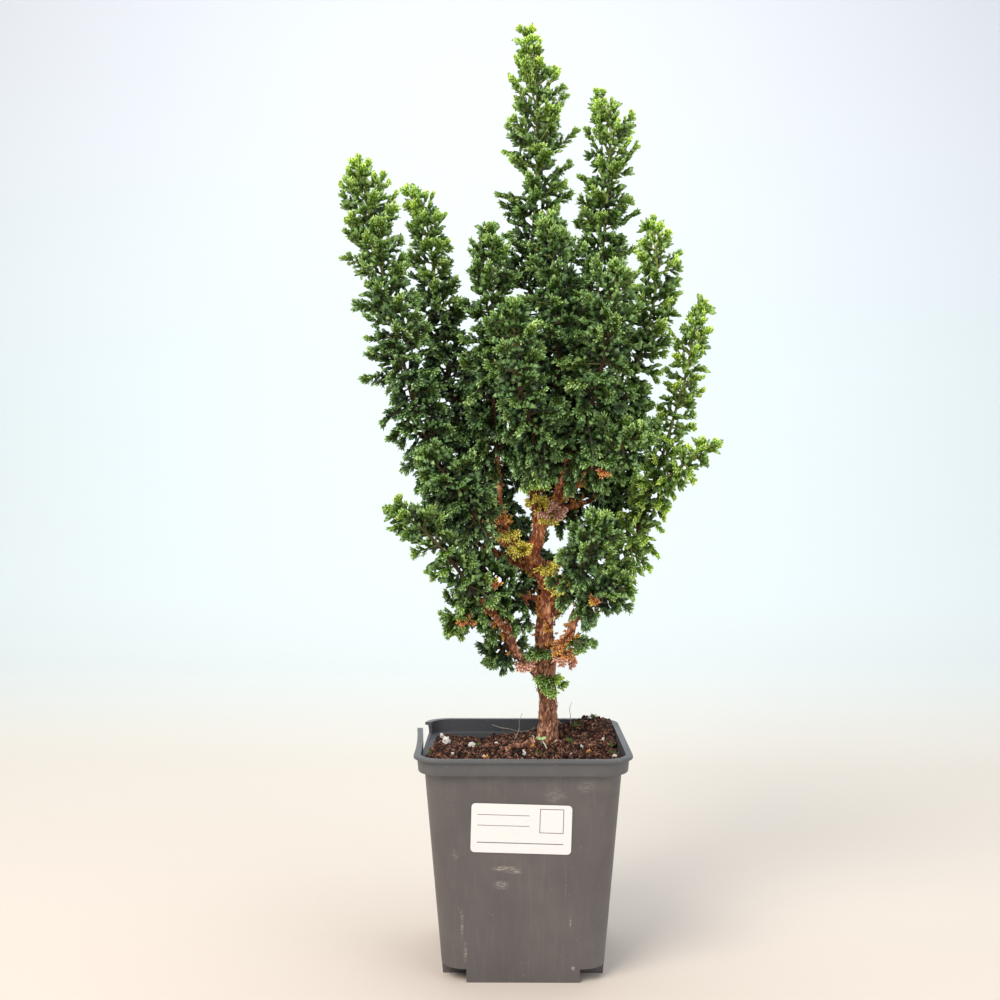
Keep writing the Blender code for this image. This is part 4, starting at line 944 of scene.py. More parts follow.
def crumbled(x, y):
    """Height of the soil's top with its crumbs and the gaps between them."""
    rough = 0.0
    for size, depth in ((5 * MM, 1.3 * MM), (2.2 * MM, 0.9 * MM), (1.0 * MM, 0.4 * MM)):
        wave = noise.noise(Vector((x, y, size)) / size)
        rough += depth * (0.5 - 1.8 * abs(wave))
    return soil_height(x, y) + rough


def on_crumbs(x, y, above=0.0):
    """The place on the crumbled soil at x and y, or a height above it."""
    return Vector((x, y, crumbled(x, y) + above))


def soil_rings():
    """Rings of the soil: up its side by the pot's wall, and then in over its top."""
    inset = POT_WALL + 0.3 * MM
    foot, wall, band = (
        rounded_square(half - inset, corner - inset, CORNER_STEPS, SOIL_SIDE_STEPS) for half, corner in (
            (BASE_HALF + 0.4 * MM, BASE_CORNER), (BODY_TOP_HALF - 0.3 * MM, BODY_TOP_CORNER),
            (BAND_HALF - 0.1 * MM, LIP_CORNER)))
    floor = FOOT_RAISE + POT_WALL + 0.3 * MM
    side, ledge, top = [], [], []
    for edge_wall, edge_band in zip(wall, band):
        height = soil_height(edge_band.x, edge_band.y)
        fills = clamp((height - SOIL_FILLS_BAND) / (1.2 * MM))
        edge = edge_wall.lerp(edge_band, fills)
        below = min(SOIL_WALL_Z, height - 0.8 * MM)
        side.append((edge_wall.x, edge_wall.y, below))
        ledge.append((edge.x, edge.y, max(below + 0.3 * MM, SOIL_BAND_Z if fills > 0 else 0)))
        top.append(edge)
    rings = [[(point.x, point.y, floor) for point in foot], side, ledge]
    for ring in range(SOIL_RINGS):
        share = 1 - (ring / SOIL_RINGS) ** 1.05
        points = []
        for index, edge in enumerate(top):
            x, y = edge.x * share, edge.y * share
            height = crumbled(x, y)
            if ring == 0:
                height = max(height, ledge[index][2] + 0.2 * MM)
            points.append((x, y, height))
        rings.append(points)
    return rings


def make_soil(surface):
    """Soil: a body that fills the pot, with a crumbled top."""
    return piece("peat_bed", loft_mesh(soil_rings()), surface, SOIL_ANGLE)


def spline_point(knots, t):
    """A point on the smooth curve through knots, with t from 0 at the first to 1 at the last."""
    place = clamp(t) * (len(knots) - 1)
    index = min(int(place), len(knots) - 2)
    f = place - index
    last = len(knots) - 1
    a, b, c, d = (knots[i] for i in (max(index - 1, 0), index, index + 1, min(index + 2, last)))
    linear_part = (c - a) * f
    square = (2 * a - 5 * b + 4 * c - d) * f ** 2
    cube = (3 * b - a - 3 * c + d) * f ** 3
    return b + (linear_part + square + cube) / 2


def sampled(knots, count):
    """Points on the smooth curve through knots, in even steps."""
    return [spline_point(knots, step / count) for step in range(count + 1)]


class Line:
    """A smooth curve through knots in millimetres, read by its length from the root."""

    def __init__(self, knots):
        self.points = sampled([Vector(knot) * MM for knot in knots], LINE_STEPS * len(knots))
        self.ways = [0.0]
        for a, b in zip(self.points, self.points[1:]):
            self.ways.append(self.ways[-1] + (b - a).length)
        self.length = self.ways[-1]

    def at(self, distance):
        """The point at a distance along the curve."""
        for i in range(1, len(self.points)):
            if self.ways[i] >= distance:
                span = self.ways[i] - self.ways[i - 1]
                return self.points[i - 1].lerp(self.points[i], (distance - self.ways[i - 1]) / span)
        return self.points[-1].copy()

    def tangent(self, distance):
        """The direction of the curve at a distance along it."""
        return (self.at(distance + 2 * MM) - self.at(max(0.0, distance - 2 * MM))).normalized()


class Growth:
    """Spots where a repeated shape goes and runs that become twigs, gathered for one piece."""

    def __init__(self, seed):
        self.draw = random.Random(seed)
        self.spots = []
        self.runs = []

    def spot(self, place, way, side, size, kind, age, tint=None):
        """Add a shape with its +Z along a way and its +X towards a side."""
        z = way.normalized()
        x = side - z * side.dot(z)
        if x.length < 1e-6:
            x = z.orthogonal()
        x.normalize()
        turn = Matrix((x, z.cross(x), z)).transposed().to_euler()
        self.spots.append((place, turn, size, kind, age, self.draw.random() if tint is None else tint))

    def run(self, points, thick_start, thick_end, age_start, age_end):
        """Add a twig through points, with its radius and age from end to end."""
        self.runs.append((points, thick_start, thick_end, age_start, age_end))


def growth_tree():
    """Geometry Nodes: a shape on every spot and a tube along every run, made real."""
    tree = bpy.data.node_groups.new("shapes_on_spots_and_twigs", "GeometryNodeTree")
    for label, kind in (
            ("Geometry", "Geometry"), ("Shapes", "Collection"), ("Shape surface", "Material"),
            ("Twig surface", "Material"), ("Twig sides", "Int")):
        tree.interface.new_socket(label, in_out="INPUT", socket_type="NodeSocket" + kind)
    tree.interface.new_socket("Geometry", in_out="OUTPUT", socket_type="NodeSocketGeometry")

    def node(kind, output, inputs, **settings):
        """Add a node, and give the output of it that is used."""
        return add(tree, "GeometryNode" + kind, inputs, **settings).outputs[output]

    given = add(tree, "NodeGroupInput").outputs
    shapes = node("CollectionInfo", "Instances", {
        "Collection": given["Shapes"], "Separate Children": True, "Reset Children": True})
    named = {
        name: node("InputNamedAttribute", "Attribute", {"Name": name}, data_type=kind)
        for name, kind in (*ROW_KINDS.items(), ("thick", "FLOAT"))}
    placed = node("InstanceOnPoints", "Instances", {
        "Points": given["Geometry"], "Selection": named["is_spot"], "Instance": shapes,
        "Pick Instance": True, "Instance Index": named["kind"], "Rotation": named["turn"],
        "Scale": named["size"]})
    real = node("RealizeInstances", "Geometry", {"Geometry": placed})
    leafy = node("SetMaterial", "Geometry", {"Geometry": real, "Material": given["Shape surface"]})
    lines = node("MeshToCurve", "Curve", {"Mesh": given["Geometry"]})
    ring = node("CurvePrimitiveCircle", "Curve", {"Resolution": given["Twig sides"], "Radius": 1.0})
    tubes = node("CurveToMesh", "Mesh", {
        "Curve": lines, "Profile Curve": ring, "Scale": named["thick"], "Fill Caps": True})
    barky = node("SetMaterial", "Geometry", {"Geometry": tubes, "Material": given["Twig surface"]})
    joined = add(tree, "GeometryNodeJoinGeometry", {"Geometry": leafy})
    tree.links.new(barky, joined.inputs["Geometry"])
    add(tree, "NodeGroupOutput", {"Geometry": joined.outputs["Geometry"]})
    return tree


def set_attribute(mesh, name, kind, values):
    """Store a point attribute on a mesh."""
    made = mesh.attributes.new(name, kind, "POINT")
    made.data.foreach_set("vector" if kind == "FLOAT_VECTOR" else "value", values)


def points_with(points, edges, rows, tree, values):
    """An object of points and edges with rows stored on them, and the tree with values for its inputs."""
    base = bpy.data.meshes.new("spots")
    base.from_pydata(points, edges, [])
    for name, row in rows.items():
        set_attribute(base, name, ROW_KINDS.get(name, "FLOAT"), row)
    holder = in_scene("spots", base)
    step = holder.modifiers.new("grow", "NODES")
    step.node_group = tree
    for item in tree.interface.items_tree:
        if item.item_type == "SOCKET" and item.in_out == "INPUT" and item.name in values:
            step[item.identifier] = values[item.name]
    return holder


def grown_mesh(growth, shapes, shape_surface, twig_surface, tree, twig_sides=5):
    """Turn a growth's spots and runs into one plain mesh with the Geometry Nodes tree."""
    points, edges = [], []
    rows = {name: [] for name in ("kind", "age", "tint", "thick", "is_spot", "turn", "size")}

    def put(place, turn, size, **values):
        """Add a point with its values."""
        points.append(place)
        rows["turn"].extend(turn)
        rows["size"].extend(size)
        for name, value in values.items():
            rows[name].append(value)

    for place, turn, size, kind, age, tint in growth.spots:
        put(place, turn, size, kind=kind, age=age, tint=tint, thick=0.0, is_spot=True)
    for run, thick_start, thick_end, age_start, age_end in growth.runs:
        for index, place in enumerate(run):
            share = index / (len(run) - 1)
            if index:
                edges.append((len(points) - 1, len(points)))
            age = age_start + (age_end - age_start) * share
            thick = thick_start + (thick_end - thick_start) * share
            put(place, (0, 0, 0), (1, 1, 1), kind=0, age=age, tint=0.5, thick=thick, is_spot=False)
    return evaluated_mesh(points_with(points, edges, rows, tree, {
        "Shapes": shapes, "Shape surface": shape_surface, "Twig surface": twig_surface,
        "Twig sides": twig_sides}))


def shape_store(meshes):
    """A collection of repeated shapes in their order, kept out of the scene."""
    store = bpy.data.collections.new("shapes")
    for index, mesh in enumerate(meshes):
        store.objects.link(bpy.data.objects.new(f"shape_{index}", mesh))
    return store


def clear_store(store):
    """Remove a store and its shapes once they are used."""
    for shape in list(store.objects):
        bpy.data.objects.remove(shape, do_unlink=True)
    bpy.data.collections.remove(store)


def strewn(name, growth, meshes, surface, tree, twig_sides=5, smooth_angle=None):
    """A piece of a growth with repeated shapes of its own, all in one surface."""
    store = shape_store(meshes)
    mesh = grown_mesh(growth, store, surface, surface, tree, twig_sides)
    clear_store(store)
    return piece(name, mesh, surface, smooth_angle)


def leaf_layers(bm):
    """The values along a finger and towards a scale's tip that its vertices hold. The second gives painted
    shade at a scale's base and a painted highlight at its tip.
    """
    return bm.verts.layers.float.new("along"), bm.verts.layers.float.new("edge")


def mark(verts, layers, *values):
    """Store values on vertices, one for each layer."""
    for vert in verts:
        for layer, value in zip(layers, values):
            vert[layer] = value


def triangle(middle, radius, turn=0.0):
    """Three points in a level ring round a middle, turned by a share of a third."""
    angles = [(corner + turn) * math.tau / 3 for corner in range(3)]
    return [middle + radius * Vector((math.cos(angle), math.sin(angle), 0)) for angle in angles]


def add_scale(bm, layers, base, way, out, side, length, width, along):
    """One scale leaf: a small keeled wedge that lies forward and outward from its finger."""
    corners = [
        base + side * width / 2, base - side * width / 2, base + way * 0.45 * length + out * 0.26 * length,
        base + way * length]
    verts = [bm.verts.new(corner) for corner in corners]
    # Each scale gets painted shade at its base and a painted highlight at its tip
    for vert, edge in zip(verts, (0.0, 0.0, 0.7, 1.0)):
        mark([vert], layers, along, edge)
    left, right, top, end = verts
    for face in ((left, top, end), (top, right, end), (right, top, left), (left, end, right)):
        bm.faces.new(face)


def finger_mesh(pairs, bend, seed):
    """One finger along +Z at its real size: a blunt core under crossed pairs of scale leaves."""
    draw = random.Random(seed)
    bm = bmesh.new()
    layers = leaf_layers(bm)

    def middle(share):
        """The finger's centre line, bent towards +X."""
        return Vector((bend * share ** 2, 0, FINGER_LENGTH * share))

    core = ((0.0, 0.9), (0.96, 0.7))
    skins = loft(bm, [triangle(middle(share), wide * FINGER_CORE) for share, wide in core])
    # The core gets painted shade
    for skin, (share, _) in zip(skins, core):
        mark(skin, layers, share, 0.15)
    for index in range(pairs):
        share = (index + 0.3) / (pairs - 0.45)
        axis = (middle(share + 0.05) - middle(share - 0.05)).normalized()
        taper = 1.0 if share < 0.7 else 1 - 0.8 * (share - 0.7)
        for half in (0, 1):
            angle = math.pi * half + (index % 2) * math.pi / 2 + math.pi / 4 + draw.uniform(-0.15, 0.15)
            out = Vector((math.cos(angle), math.sin(angle), 0))
            out = (out - axis * out.dot(axis)).normalized()
            spread = LEAF_SPREAD + draw.uniform(-0.12, 0.12)
            way = axis * math.cos(spread) + out * math.sin(spread)
            base = middle(share) + out * 0.5 * FINGER_CORE
            size = LEAF_LENGTH * taper * draw.uniform(0.88, 1.12)
            add_scale(bm, layers, base, way, out, axis.cross(out), size, LEAF_WIDTH * taper, share)
    return mesh_from(bm, outward=False)


def plain_finger_mesh():
    """A plainer finger for the inside of a plume: whorls of three scales as one three-sided body."""
    bm = bmesh.new()
    layers = leaf_layers(bm)
    skins = loft(bm, [
        triangle(Vector((0, 0, share * FINGER_LENGTH)), wide * FINGER_CORE, 0.5 * (index // 2))
        for index, (share, wide) in enumerate(PLAIN_WHORLS)])
    # Wide whorls get a painted highlight and the narrow ones painted shade
    for skin, (share, wide) in zip(skins, PLAIN_WHORLS):
        mark(skin, layers, share, 0.7 if wide > 1.2 else 0.1)
    return mesh_from(bm)


def finger_store():
    """Fingers to choose from: detailed ones bent more or less, then a plainer one for the inside."""
    detailed = [finger_mesh(FINGER_PAIRS, bend * MM, kind) for kind, bend in enumerate(FINGER_BENDS)]
    return shape_store([*detailed, plain_finger_mesh()])


def plume_width(widths, share, length):
    """Half-width of a plume at a share of its length: three widths blended, and a rounded tip."""
    root, middle, tip, rounding = (width * MM for width in widths)
    if share < 0.5:
        return root + (middle - root) * share * 2
    rounded = max(0.3, clamp((1 - share) * length / rounding) ** 0.75)
    return rounded * (middle + (tip - middle) * (share * 2 - 1))


def finger_size(length, draw):
    """Scale of a finger for a length: a short one is stubby, a long one only a little thicker."""
    stretch = length / FINGER_LENGTH
    thick = (0.6 + 0.4 * stretch) * draw.uniform(0.9, 1.12)
    return (thick, 0.85 * thick, stretch)


class Spray(NamedTuple):
    """How a spray grows: its reach, its face, droop and youth, the share of its twig that is bare, the
    share that has plain fingers and the length of its longest finger."""

    reach: float
    face: Vector
    droop: float
    youth: float
    bare: float
    plain: float
    finger: float


def grow_spray(growth, start, way, spray):
    """One spray: a flat fan of fingers on both sides of a twig, long ones forked, and three at its end."""
    draw = growth.draw
    side = spray.face.cross(way).normalized()
    pull = Vector((0, 0, -1)) * spray.droop
    tint = 0.5 * draw.random() + 0.5 * spray.youth

    def at(share):
        """The spray's centre line."""
        return start + way * spray.reach * share + pull * spray.reach * 0.3 * share ** 2

    def finger(place, go, length, share):
        """One finger of the spray, plain near its root and younger at its end."""
        plain = share < spray.plain
        kind = FINGER_KINDS if plain else draw.randrange(FINGER_KINDS)
        age = clamp(spray.youth * (0.2 + share) + draw.uniform(-0.1, 0.1))
        own_tint = 0.7 * tint + 0.3 * draw.random()
        size = finger_size(length * (PLAIN_STRETCH if plain else 1.0), draw)
        growth.spot(place, go, pull + spray.face * 0.2, size, kind, age, own_tint)

    twig_age = 0.2 + 0.6 * spray.youth
    growth.run([at(step / 3) for step in range(4)], *TWIG_RADII, twig_age, 0.2 + twig_age)
    count = max(2, round(spray.reach * (1 - spray.bare) / FINGER_STEP))
    for index in range(count):
        share = spray.bare + (1 - spray.bare) * (index + 0.5) / count
        hand = 1 if index % 2 else -1
        axis = (at(min(1.0, share + 0.1)) - at(share - 0.1)).normalized()
        spread = math.radians(60 - 26 * share) + draw.uniform(-0.18, 0.18)
        tilt = draw.uniform(-0.5, 0.5)
        across = (side * hand + spray.face * tilt).normalized()
        go = (axis * math.cos(spread) + across * math.sin(spread) + pull * 0.3 * draw.random()).normalized()
        length = spray.finger * (1.15 - 0.4 * share) * draw.uniform(0.75, 1.15)
        finger(at(share), go, length, share)
        if length > FORK_LENGTH:
            fork = at(share) + go * length * 0.45
            for turn in (-1, 1):
                twist = (go + (axis * turn + spray.face * tilt * 0.5) * 0.8).normalized()
                finger(fork, twist, 0.62 * length, share)
    end_way = (at(1.0) - at(0.85)).normalized()
    for turn in (-0.5, 0.0, 0.5):
        finger(at(0.9), (end_way + side * turn).normalized(), spray.finger * draw.uniform(0.6, 0.85), 1.0)


def spray_way(along, turn, lean):
    """Directions out from a stem and along a spray, round the stem by a turn and leaning up it."""
    out = along.orthogonal().normalized()
    out.rotate(Matrix.Rotation(turn, 3, along))
    return out, (out * math.cos(lean) + along * math.sin(lean)).normalized()


def youth_at(youth_range, share):
    """Youth of a plume at a share of its length: old for most of it and young near the tip."""
    return youth_range[0] + (youth_range[1] - youth_range[0]) * share ** 2.2


def finger_length(youth):
    """Length of the longest fingers: long in the old mass and short at young tips."""
    return OLD_FINGER + (YOUNG_FINGER - OLD_FINGER) * youth


def grow_line(growth, line, widths, youth_range, density):
    """Sprays round one leafy stem, long ones that fill its plume and short ones that hide its twig."""
    draw = growth.draw
    leafy = line.length - TIP_SPARE
    phase = draw.uniform(0, math.tau)
    count = max(5, round(leafy / SPRAY_STEP * density))
    for i in range(count):
        share = ((i + draw.uniform(0.2, 0.8)) / count) ** 1.12
        place, along = line.at(share * leafy), line.tangent(share * leafy)
        lean = LOW_LEAN + (TOP_LEAN - LOW_LEAN) * share + draw.uniform(-0.4, 0.4)
        out, way = spray_way(along, i * GOLDEN_TURN + phase + draw.uniform(-0.3, 0.3), lean)
        clump = 1 + 0.3 * noise.noise(place / (10 * MM) + out * 0.9)
        reach = plume_width(widths, share, leafy) / max(0.7, math.cos(lean)) ** 0.8
        reach = reach * clump * draw.uniform(0.85, 1.16) - 0.3 * FINGER_LENGTH
        youth = youth_at(youth_range, share)
        facing = out * 0.9 + Vector((0, 0, 0.6))
        face = facing - way * facing.dot(way)
        face.rotate(Matrix.Rotation(draw.uniform(-1.25, 1.25), 3, way))
        grow_spray(growth, place, way, Spray(
            max(SHORTEST_SPRAY, reach), face.normalized(), 1.0 - 1.7 * share, youth, FAN_CLEAR, 0.45,
            finger_length(youth)))
    count = max(3, round(leafy / INNER_STEP))
    for i in range(count):
        share = (i + draw.random()) / count
        place, along = line.at(share * leafy), line.tangent(share * leafy)
        out, way = spray_way(along, -i * GOLDEN_TURN + phase, draw.uniform(0.1, 0.9))
        # Inner sprays are older, and their lower youth is also painted shade inside the plume
        youth = 0.45 * youth_at(youth_range, share)
        reach = 0.65 * plume_width(widths, share, leafy) * draw.uniform(0.6, 1.2)
        face = (out - way * out.dot(way)).normalized()
        face.rotate(Matrix.Rotation(draw.uniform(-1.5, 1.5), 3, way))
        grow_spray(growth, place, way, Spray(
            max(SHORTEST_SPRAY, reach), face, 0.2, youth, 0.2, 2.0, finger_length(youth)))
    tip = line.tangent(leafy)
    for turn in range(3):
        out, way = spray_way(tip, turn * math.tau / 3, 1.15)
        growth.spot(
            line.at(leafy), way, out, finger_size(FINGER_LENGTH * draw.uniform(0.7, 1), draw), turn,
            youth_range[1])
    steps = max(6, round(leafy / STEM_STEP))
    points = [line.at(leafy * step / steps) for step in range(steps + 1)]
    growth.run(points, *STEM_RADII, 0.0, youth_range[1])


def make_foliage(fingers, tree, leaf, twig):
    """Leafy stems: each one's sprays and twigs in one piece that stands for its solid."""
    pieces = {}
    for name, stem in LEAFY_STEMS.items():
        growth = Growth(f"{name} {SEED}")
        for knots in stem.lines:
            grow_line(growth, Line(knots), stem.widths, stem.youth, stem.density)
        mesh = grown_mesh(growth, fingers, leaf, twig, tree)
        pieces[name] = piece("foliage_" + name.removeprefix("leafy_"), mesh)
    return pieces


def make_tufts(tufts, fingers, tree, leaves, twig):
    """Tufts: green sprigs, yellow fans and dead sprays that grow from the bark."""
    pieces = {}
    for name, tuft in tufts.items():
        growth = Growth(f"{name} {SEED}")
        draw = growth.draw
        root = Vector(tuft.root) * MM
        way = Vector(tuft.way).normalized()
        side = way.cross(Vector((0, 0, 1))).normalized()
        growth.run([root - way * 2.5 * MM, root, root + way * MM], *TUFT_STALK, 0.1, 0.3)
        for index in range(tuft.sprays):
            turn = 2 * index / (tuft.sprays - 1) - 1
            go = (way + side * turn + Vector((0, 0, draw.uniform(-0.35, 0.5)))).normalized()
            face = Vector((0, -1, 0.5)) - go * Vector((0, -1, 0.5)).dot(go)
            reach = tuft.length * MM * (1 - 0.2 * abs(turn)) * draw.uniform(0.6, 0.9)
            grow_spray(growth, root - way * MM, go, Spray(
                reach, face.normalized(), 0.4, tuft.youth, 0.1, 0.0, TUFT_FINGER))
        mesh = grown_mesh(growth, fingers, leaves[name.split("_")[0]], twig, tree)
        pieces[name] = piece("tuft_" + name, mesh)
    return pieces


def bark_height(place):
    """Relief of bark at a place, from 0 in a crack to 1 on a plate, and the plate's own tone."""
    cell = Vector((place.x / PLATE_WIDE, place.y / PLATE_WIDE, place.z / PLATE_TALL))
    warped = cell + 0.4 * noise.noise_vector(cell * 1.6)
    distances, seeds = noise.voronoi(warped)
    crack = min(1.0, (distances[1] - distances[0]) * 3.0)
    tone = noise.cell(seeds[0] * 7.3)
    fine = noise.noise(cell * 4.5)
    height = crack ** 0.7 * (0.45 + 0.55 * tone) + 0.22 * fine
    return height, tone


def make_wood(tree, bark):
    """Wood: trunk, root and branches flowed into one body, with plates of bark raised from it."""
    root = []
    for x, y, lift, radius in ROOT_RUN:
        root.append((x, y, soil_height(x * MM, y * MM) / MM + lift + 0.4, radius))
    points, edges, thick = [], [], []
    for knots in [TRUNK, root] + BRANCHES:
        for i, at in enumerate(sampled([Vector(knot) for knot in knots], LIMB_STEPS * len(knots))):
            if i:
                edges.append((len(points) - 1, len(points)))
            points.append(Vector(at[:3]) * MM)
            thick.append(at[3] * MM)
    rows = {"thick": thick, "is_spot": [False] * len(points)}
    limbs = points_with(points, edges, rows, tree, {"Twig sides": LIMB_SIDES})
    whole = limbs.modifiers.new("one_body", "REMESH")
    whole.mode = "VOXEL"
    whole.voxel_size = WOOD_VOXEL
    smooth = limbs.modifiers.new("flow", "SMOOTH")
    smooth.factor = 0.5
    smooth.iterations = 3
    mesh = evaluated_mesh(limbs)
    lifts, tones, moved = [], [], []
    for vert in mesh.vertices:
        height, tone = bark_height(vert.co)
        knobs = noise.noise(vert.co / (6.5 * MM))
        moved.append(vert.co + vert.normal * (BARK_RELIEF * (1.5 * height - 0.8) + 0.55 * MM * knobs))
        lifts.append(clamp(height))
        tones.append(tone)
    for vert, place in zip(mesh.vertices, moved):
        vert.co = place
    set_attribute(mesh, "lift", "FLOAT", lifts)
    set_attribute(mesh, "tone", "FLOAT", tones)
    return piece("trunk_and_branches", mesh, bark, SOFT_ANGLE)


def lump_mesh(detail, roughness, seed):
    """A rough lump a unit across its radius, with its height stored along it."""
    bm = bmesh.new()
    bmesh.ops.create_icosphere(bm, subdivisions=detail, radius=1.0)
    for vert in bm.verts:
        rough = noise.noise(vert.co * 1.4 + Vector((seed * 5.1, 0, 0)))
        rough += 0.5 * noise.noise(vert.co * 3.1 + Vector((0, seed * 3.7, 0)))
        vert.co *= 1 + roughness * rough
    return mesh_from(bm)


def on_soil(draw):
    """A place on the soil's top, inside the pot's wall."""
    reach = BODY_TOP_HALF - 2.5 * MM
    while True:
        x, y = draw.uniform(-reach, reach), draw.uniform(-reach, reach)
        over = max(0.0, abs(x) - reach + 11 * MM), max(0.0, abs(y) - reach + 11 * MM)
        if math.hypot(*over) < 11 * MM:
            return on_crumbs(x, y)


def on_root(place):
    """Whether a place on the soil lies over the surface root."""
    return any(math.hypot(place.x - x * MM, place.y - y * MM) < (radius + 1.2) * MM
               for x, y, _, radius in ROOT_RUN)


def any_way(draw):
    """A way in any direction."""
    return Vector((draw.gauss(0, 1), draw.gauss(0, 1), draw.gauss(0, 1)))


def make_crumbs(tree, surface):
    """Clods, crumbs and fibres that lie on the soil."""
    growth = Growth(SEED + 1)
    draw = growth.draw
    for index in range(CLODS + CRUMBS):
        place = on_soil(draw)
        radius = draw.uniform(*(CLOD_RADII if index < CLODS else CRUMB_RADII)) * MM
        if on_root(place):
            continue
        size = tuple(radius * draw.uniform(0.6, 1.15) for _ in range(3))
        way = any_way(draw)
        place.z += 0.25 * radius
        kind = draw.randrange(3) if index < CLODS else draw.choice((3, 4))
        growth.spot(place, way, way.orthogonal(), size, kind, 0.0, draw.uniform(-0.2, 0.32))
    for _ in range(FIBRES):
        place = on_soil(draw)
        turn = draw.uniform(0, math.tau)
        length = draw.uniform(*FIBRE_LENGTHS) * MM
        run = []
        for step in range(5):
            turn += draw.uniform(-0.5, 0.5)
            place = place + Vector((math.cos(turn), math.sin(turn), 0)) * length / 4
            rise = (1.2 - abs(step - 2) * 0.5) * draw.uniform(0.1, 1.0) * MM
            run.append(on_crumbs(place.x, place.y, 0.25 * MM + rise))
        inside = all(max(abs(point.x), abs(point.y)) < BODY_TOP_HALF - 3 * MM for point in run)
        if inside and not any(on_root(point) for point in run):
            growth.run(run, FIBRE_RADII[0] * draw.uniform(0.8, 2.0), FIBRE_RADII[1], 0.1, 0.3)
    lumps = [lump_mesh(2, 0.55, kind) for kind in range(3)] + [lump_mesh(1, 0.7, kind) for kind in (3, 4)]
    return strewn("peat_crumbs", growth, lumps, surface, tree, 4, CRUMB_ANGLE)


def make_strays(tree, surface):
    """Single pale root hairs on the pot's inside wall and in the air over the soil."""
    growth = Growth(SEED + 2)
    for points in STRAYS:
        growth.run(sampled([Vector(point) * MM for point in points], 24), *HAIR_RADII, 0.2, 0.2)
    return strewn("stray_root_hairs", growth, [], surface, tree, 6, SOFT_ANGLE)


def make_perlite(tree, surface):
    """Perlite grains: white and rough, half sunk in the soil."""
    growth = Growth(SEED + 3)
    draw = growth.draw
    for x, y, radius in PERLITE:
        place = on_crumbs(x * MM, y * MM, 0.45 * radius * MM)
        size = tuple(radius * MM * draw.uniform(0.8, 1.1) for _ in range(3))
        way = any_way(draw)
        growth.spot(place, way, way.orthogonal(), size, draw.randrange(3), 0.0)
    grains = [lump_mesh(3, 0.6, 10 + kind) for kind in range(3)]
    return strewn("perlite_grains", growth, grains, surface, tree, smooth_angle=SOFT_ANGLE)


def blade_mesh():
    """A blade of moss: a slim three-sided spike a unit high."""
    bm = bmesh.new()
    bmesh.ops.create_cone(
        bm, cap_ends=True, segments=3, radius1=0.16, radius2=0.03, depth=1.0,
        matrix=Matrix.Translation((0, 0, 0.5)))
    return mesh_from(bm)


def make_moss(tree, surface):
    """Moss: tufts of short green spikes on the soil."""
    growth = Growth(SEED + 4)
    draw = growth.draw
    edge = BODY_TOP_HALF - 1.8 * MM
    for x, y, spread in MOSS:
        for _ in range(round(MOSS_BLADES * spread / 3)):
            turn, away = draw.uniform(0, math.tau), 0.55 * spread * MM * math.sqrt(draw.random())
            spots = (x * MM + away * math.cos(turn), y * MM + away * math.sin(turn))
            place = on_crumbs(*(clamp(spot, -edge, edge) for spot in spots), -0.2 * MM)
            way = Vector((draw.gauss(0, 0.55), draw.gauss(0, 0.55), 1))
            height = draw.uniform(*BLADE_HEIGHTS) * MM
            growth.spot(place, way, way.orthogonal(), (height, height, height), 0, draw.random())
    return strewn("moss_tufts", growth, [blade_mesh()], surface, tree)


def cupped_leaf(bm, middle, turn):
    """A round seed leaf, cupped a little, as a closed thin body."""
    rings, count = 5, 20
    for side in (1, -1):
        rows = []
        for ring in range(rings):
            share = (ring + 1) / rings
            radius = SEEDLING_LEAF * share
            row = []
            for step in range(count):
                angle = step / count * math.tau
                rise = 0.35 * SEEDLING_LEAF * share ** 2
                thick = side * 0.14 * MM * (1 - share ** 4)
                spot = Vector((radius * math.cos(angle), 0.86 * radius * math.sin(angle), rise + thick))
                row.append(bm.verts.new(middle + turn @ spot))
            rows.append(row)
        centre = bm.verts.new(middle + turn @ Vector((0, 0, side * 0.14 * MM)))
        for step in range(count):
            bm.faces.new((centre, rows[0][step], rows[0][(step + 1) % count]))
        for low, high in zip(rows, rows[1:]):
            for step in range(count):
                after = (step + 1) % count
                bm.faces.new((low[step], high[step], high[after], low[after]))


def make_seedling(leaf, stem, tree):
    """Seedling: a thin white stem with two round cupped leaves."""
    x, y = SEEDLING_ROOT
    foot = Vector((x, y, soil_height(x, y)))
    top = foot + Vector(SEEDLING_RISE)
    knots = [foot + Vector(step) * MM for step in ((0, 0, -3), (0, 0, 1), (-1, 0, 3.5))] + [top]
    growth = Growth(SEED)
    growth.run(sampled(knots, 14), SEEDLING_RADIUS, 0.8 * SEEDLING_RADIUS, 0, 0)
    bm = bmesh.new()
    for side in (-1, 1):
        middle = top + Vector((side * 0.9 * SEEDLING_LEAF, -0.3 * MM, 0.1 * MM))
        turn = Matrix.Rotation(math.radians(side * -18), 3, "Y") @ Matrix.Rotation(math.radians(28), 3, "X")
        cupped_leaf(bm, middle, turn)
    bmesh.ops.remove_doubles(bm, verts=bm.verts, dist=0.002 * MM)
    return (
        strewn("seedling_stem", growth, [], stem, tree, 10, SOFT_ANGLE),
        piece("seedling_leaves", mesh_from(bm), leaf, SOFT_ANGLE))


def flake_mesh(curl, seed):
    """A flake of bark about a unit long: a thin plate that curls away at its top and one side."""
    draw = random.Random(seed)
    rings = []
    for step in range(3):
        z = step / 2 - 0.35
        lift = 0.05 + curl * (step / 2) ** 2
        half = (0.16, 0.24, 0.07)[step] * draw.uniform(0.8, 1.15)
        thick = 0.07
        twist = draw.uniform(-0.05, 0.05)
        rings.append([
            (lift, -half, z), (lift + 0.04 + twist, half, z),
            (lift + thick + 0.04 + twist, half * 0.95, z), (lift + thick, -half * 0.95, z)])
    return loft_mesh(rings)


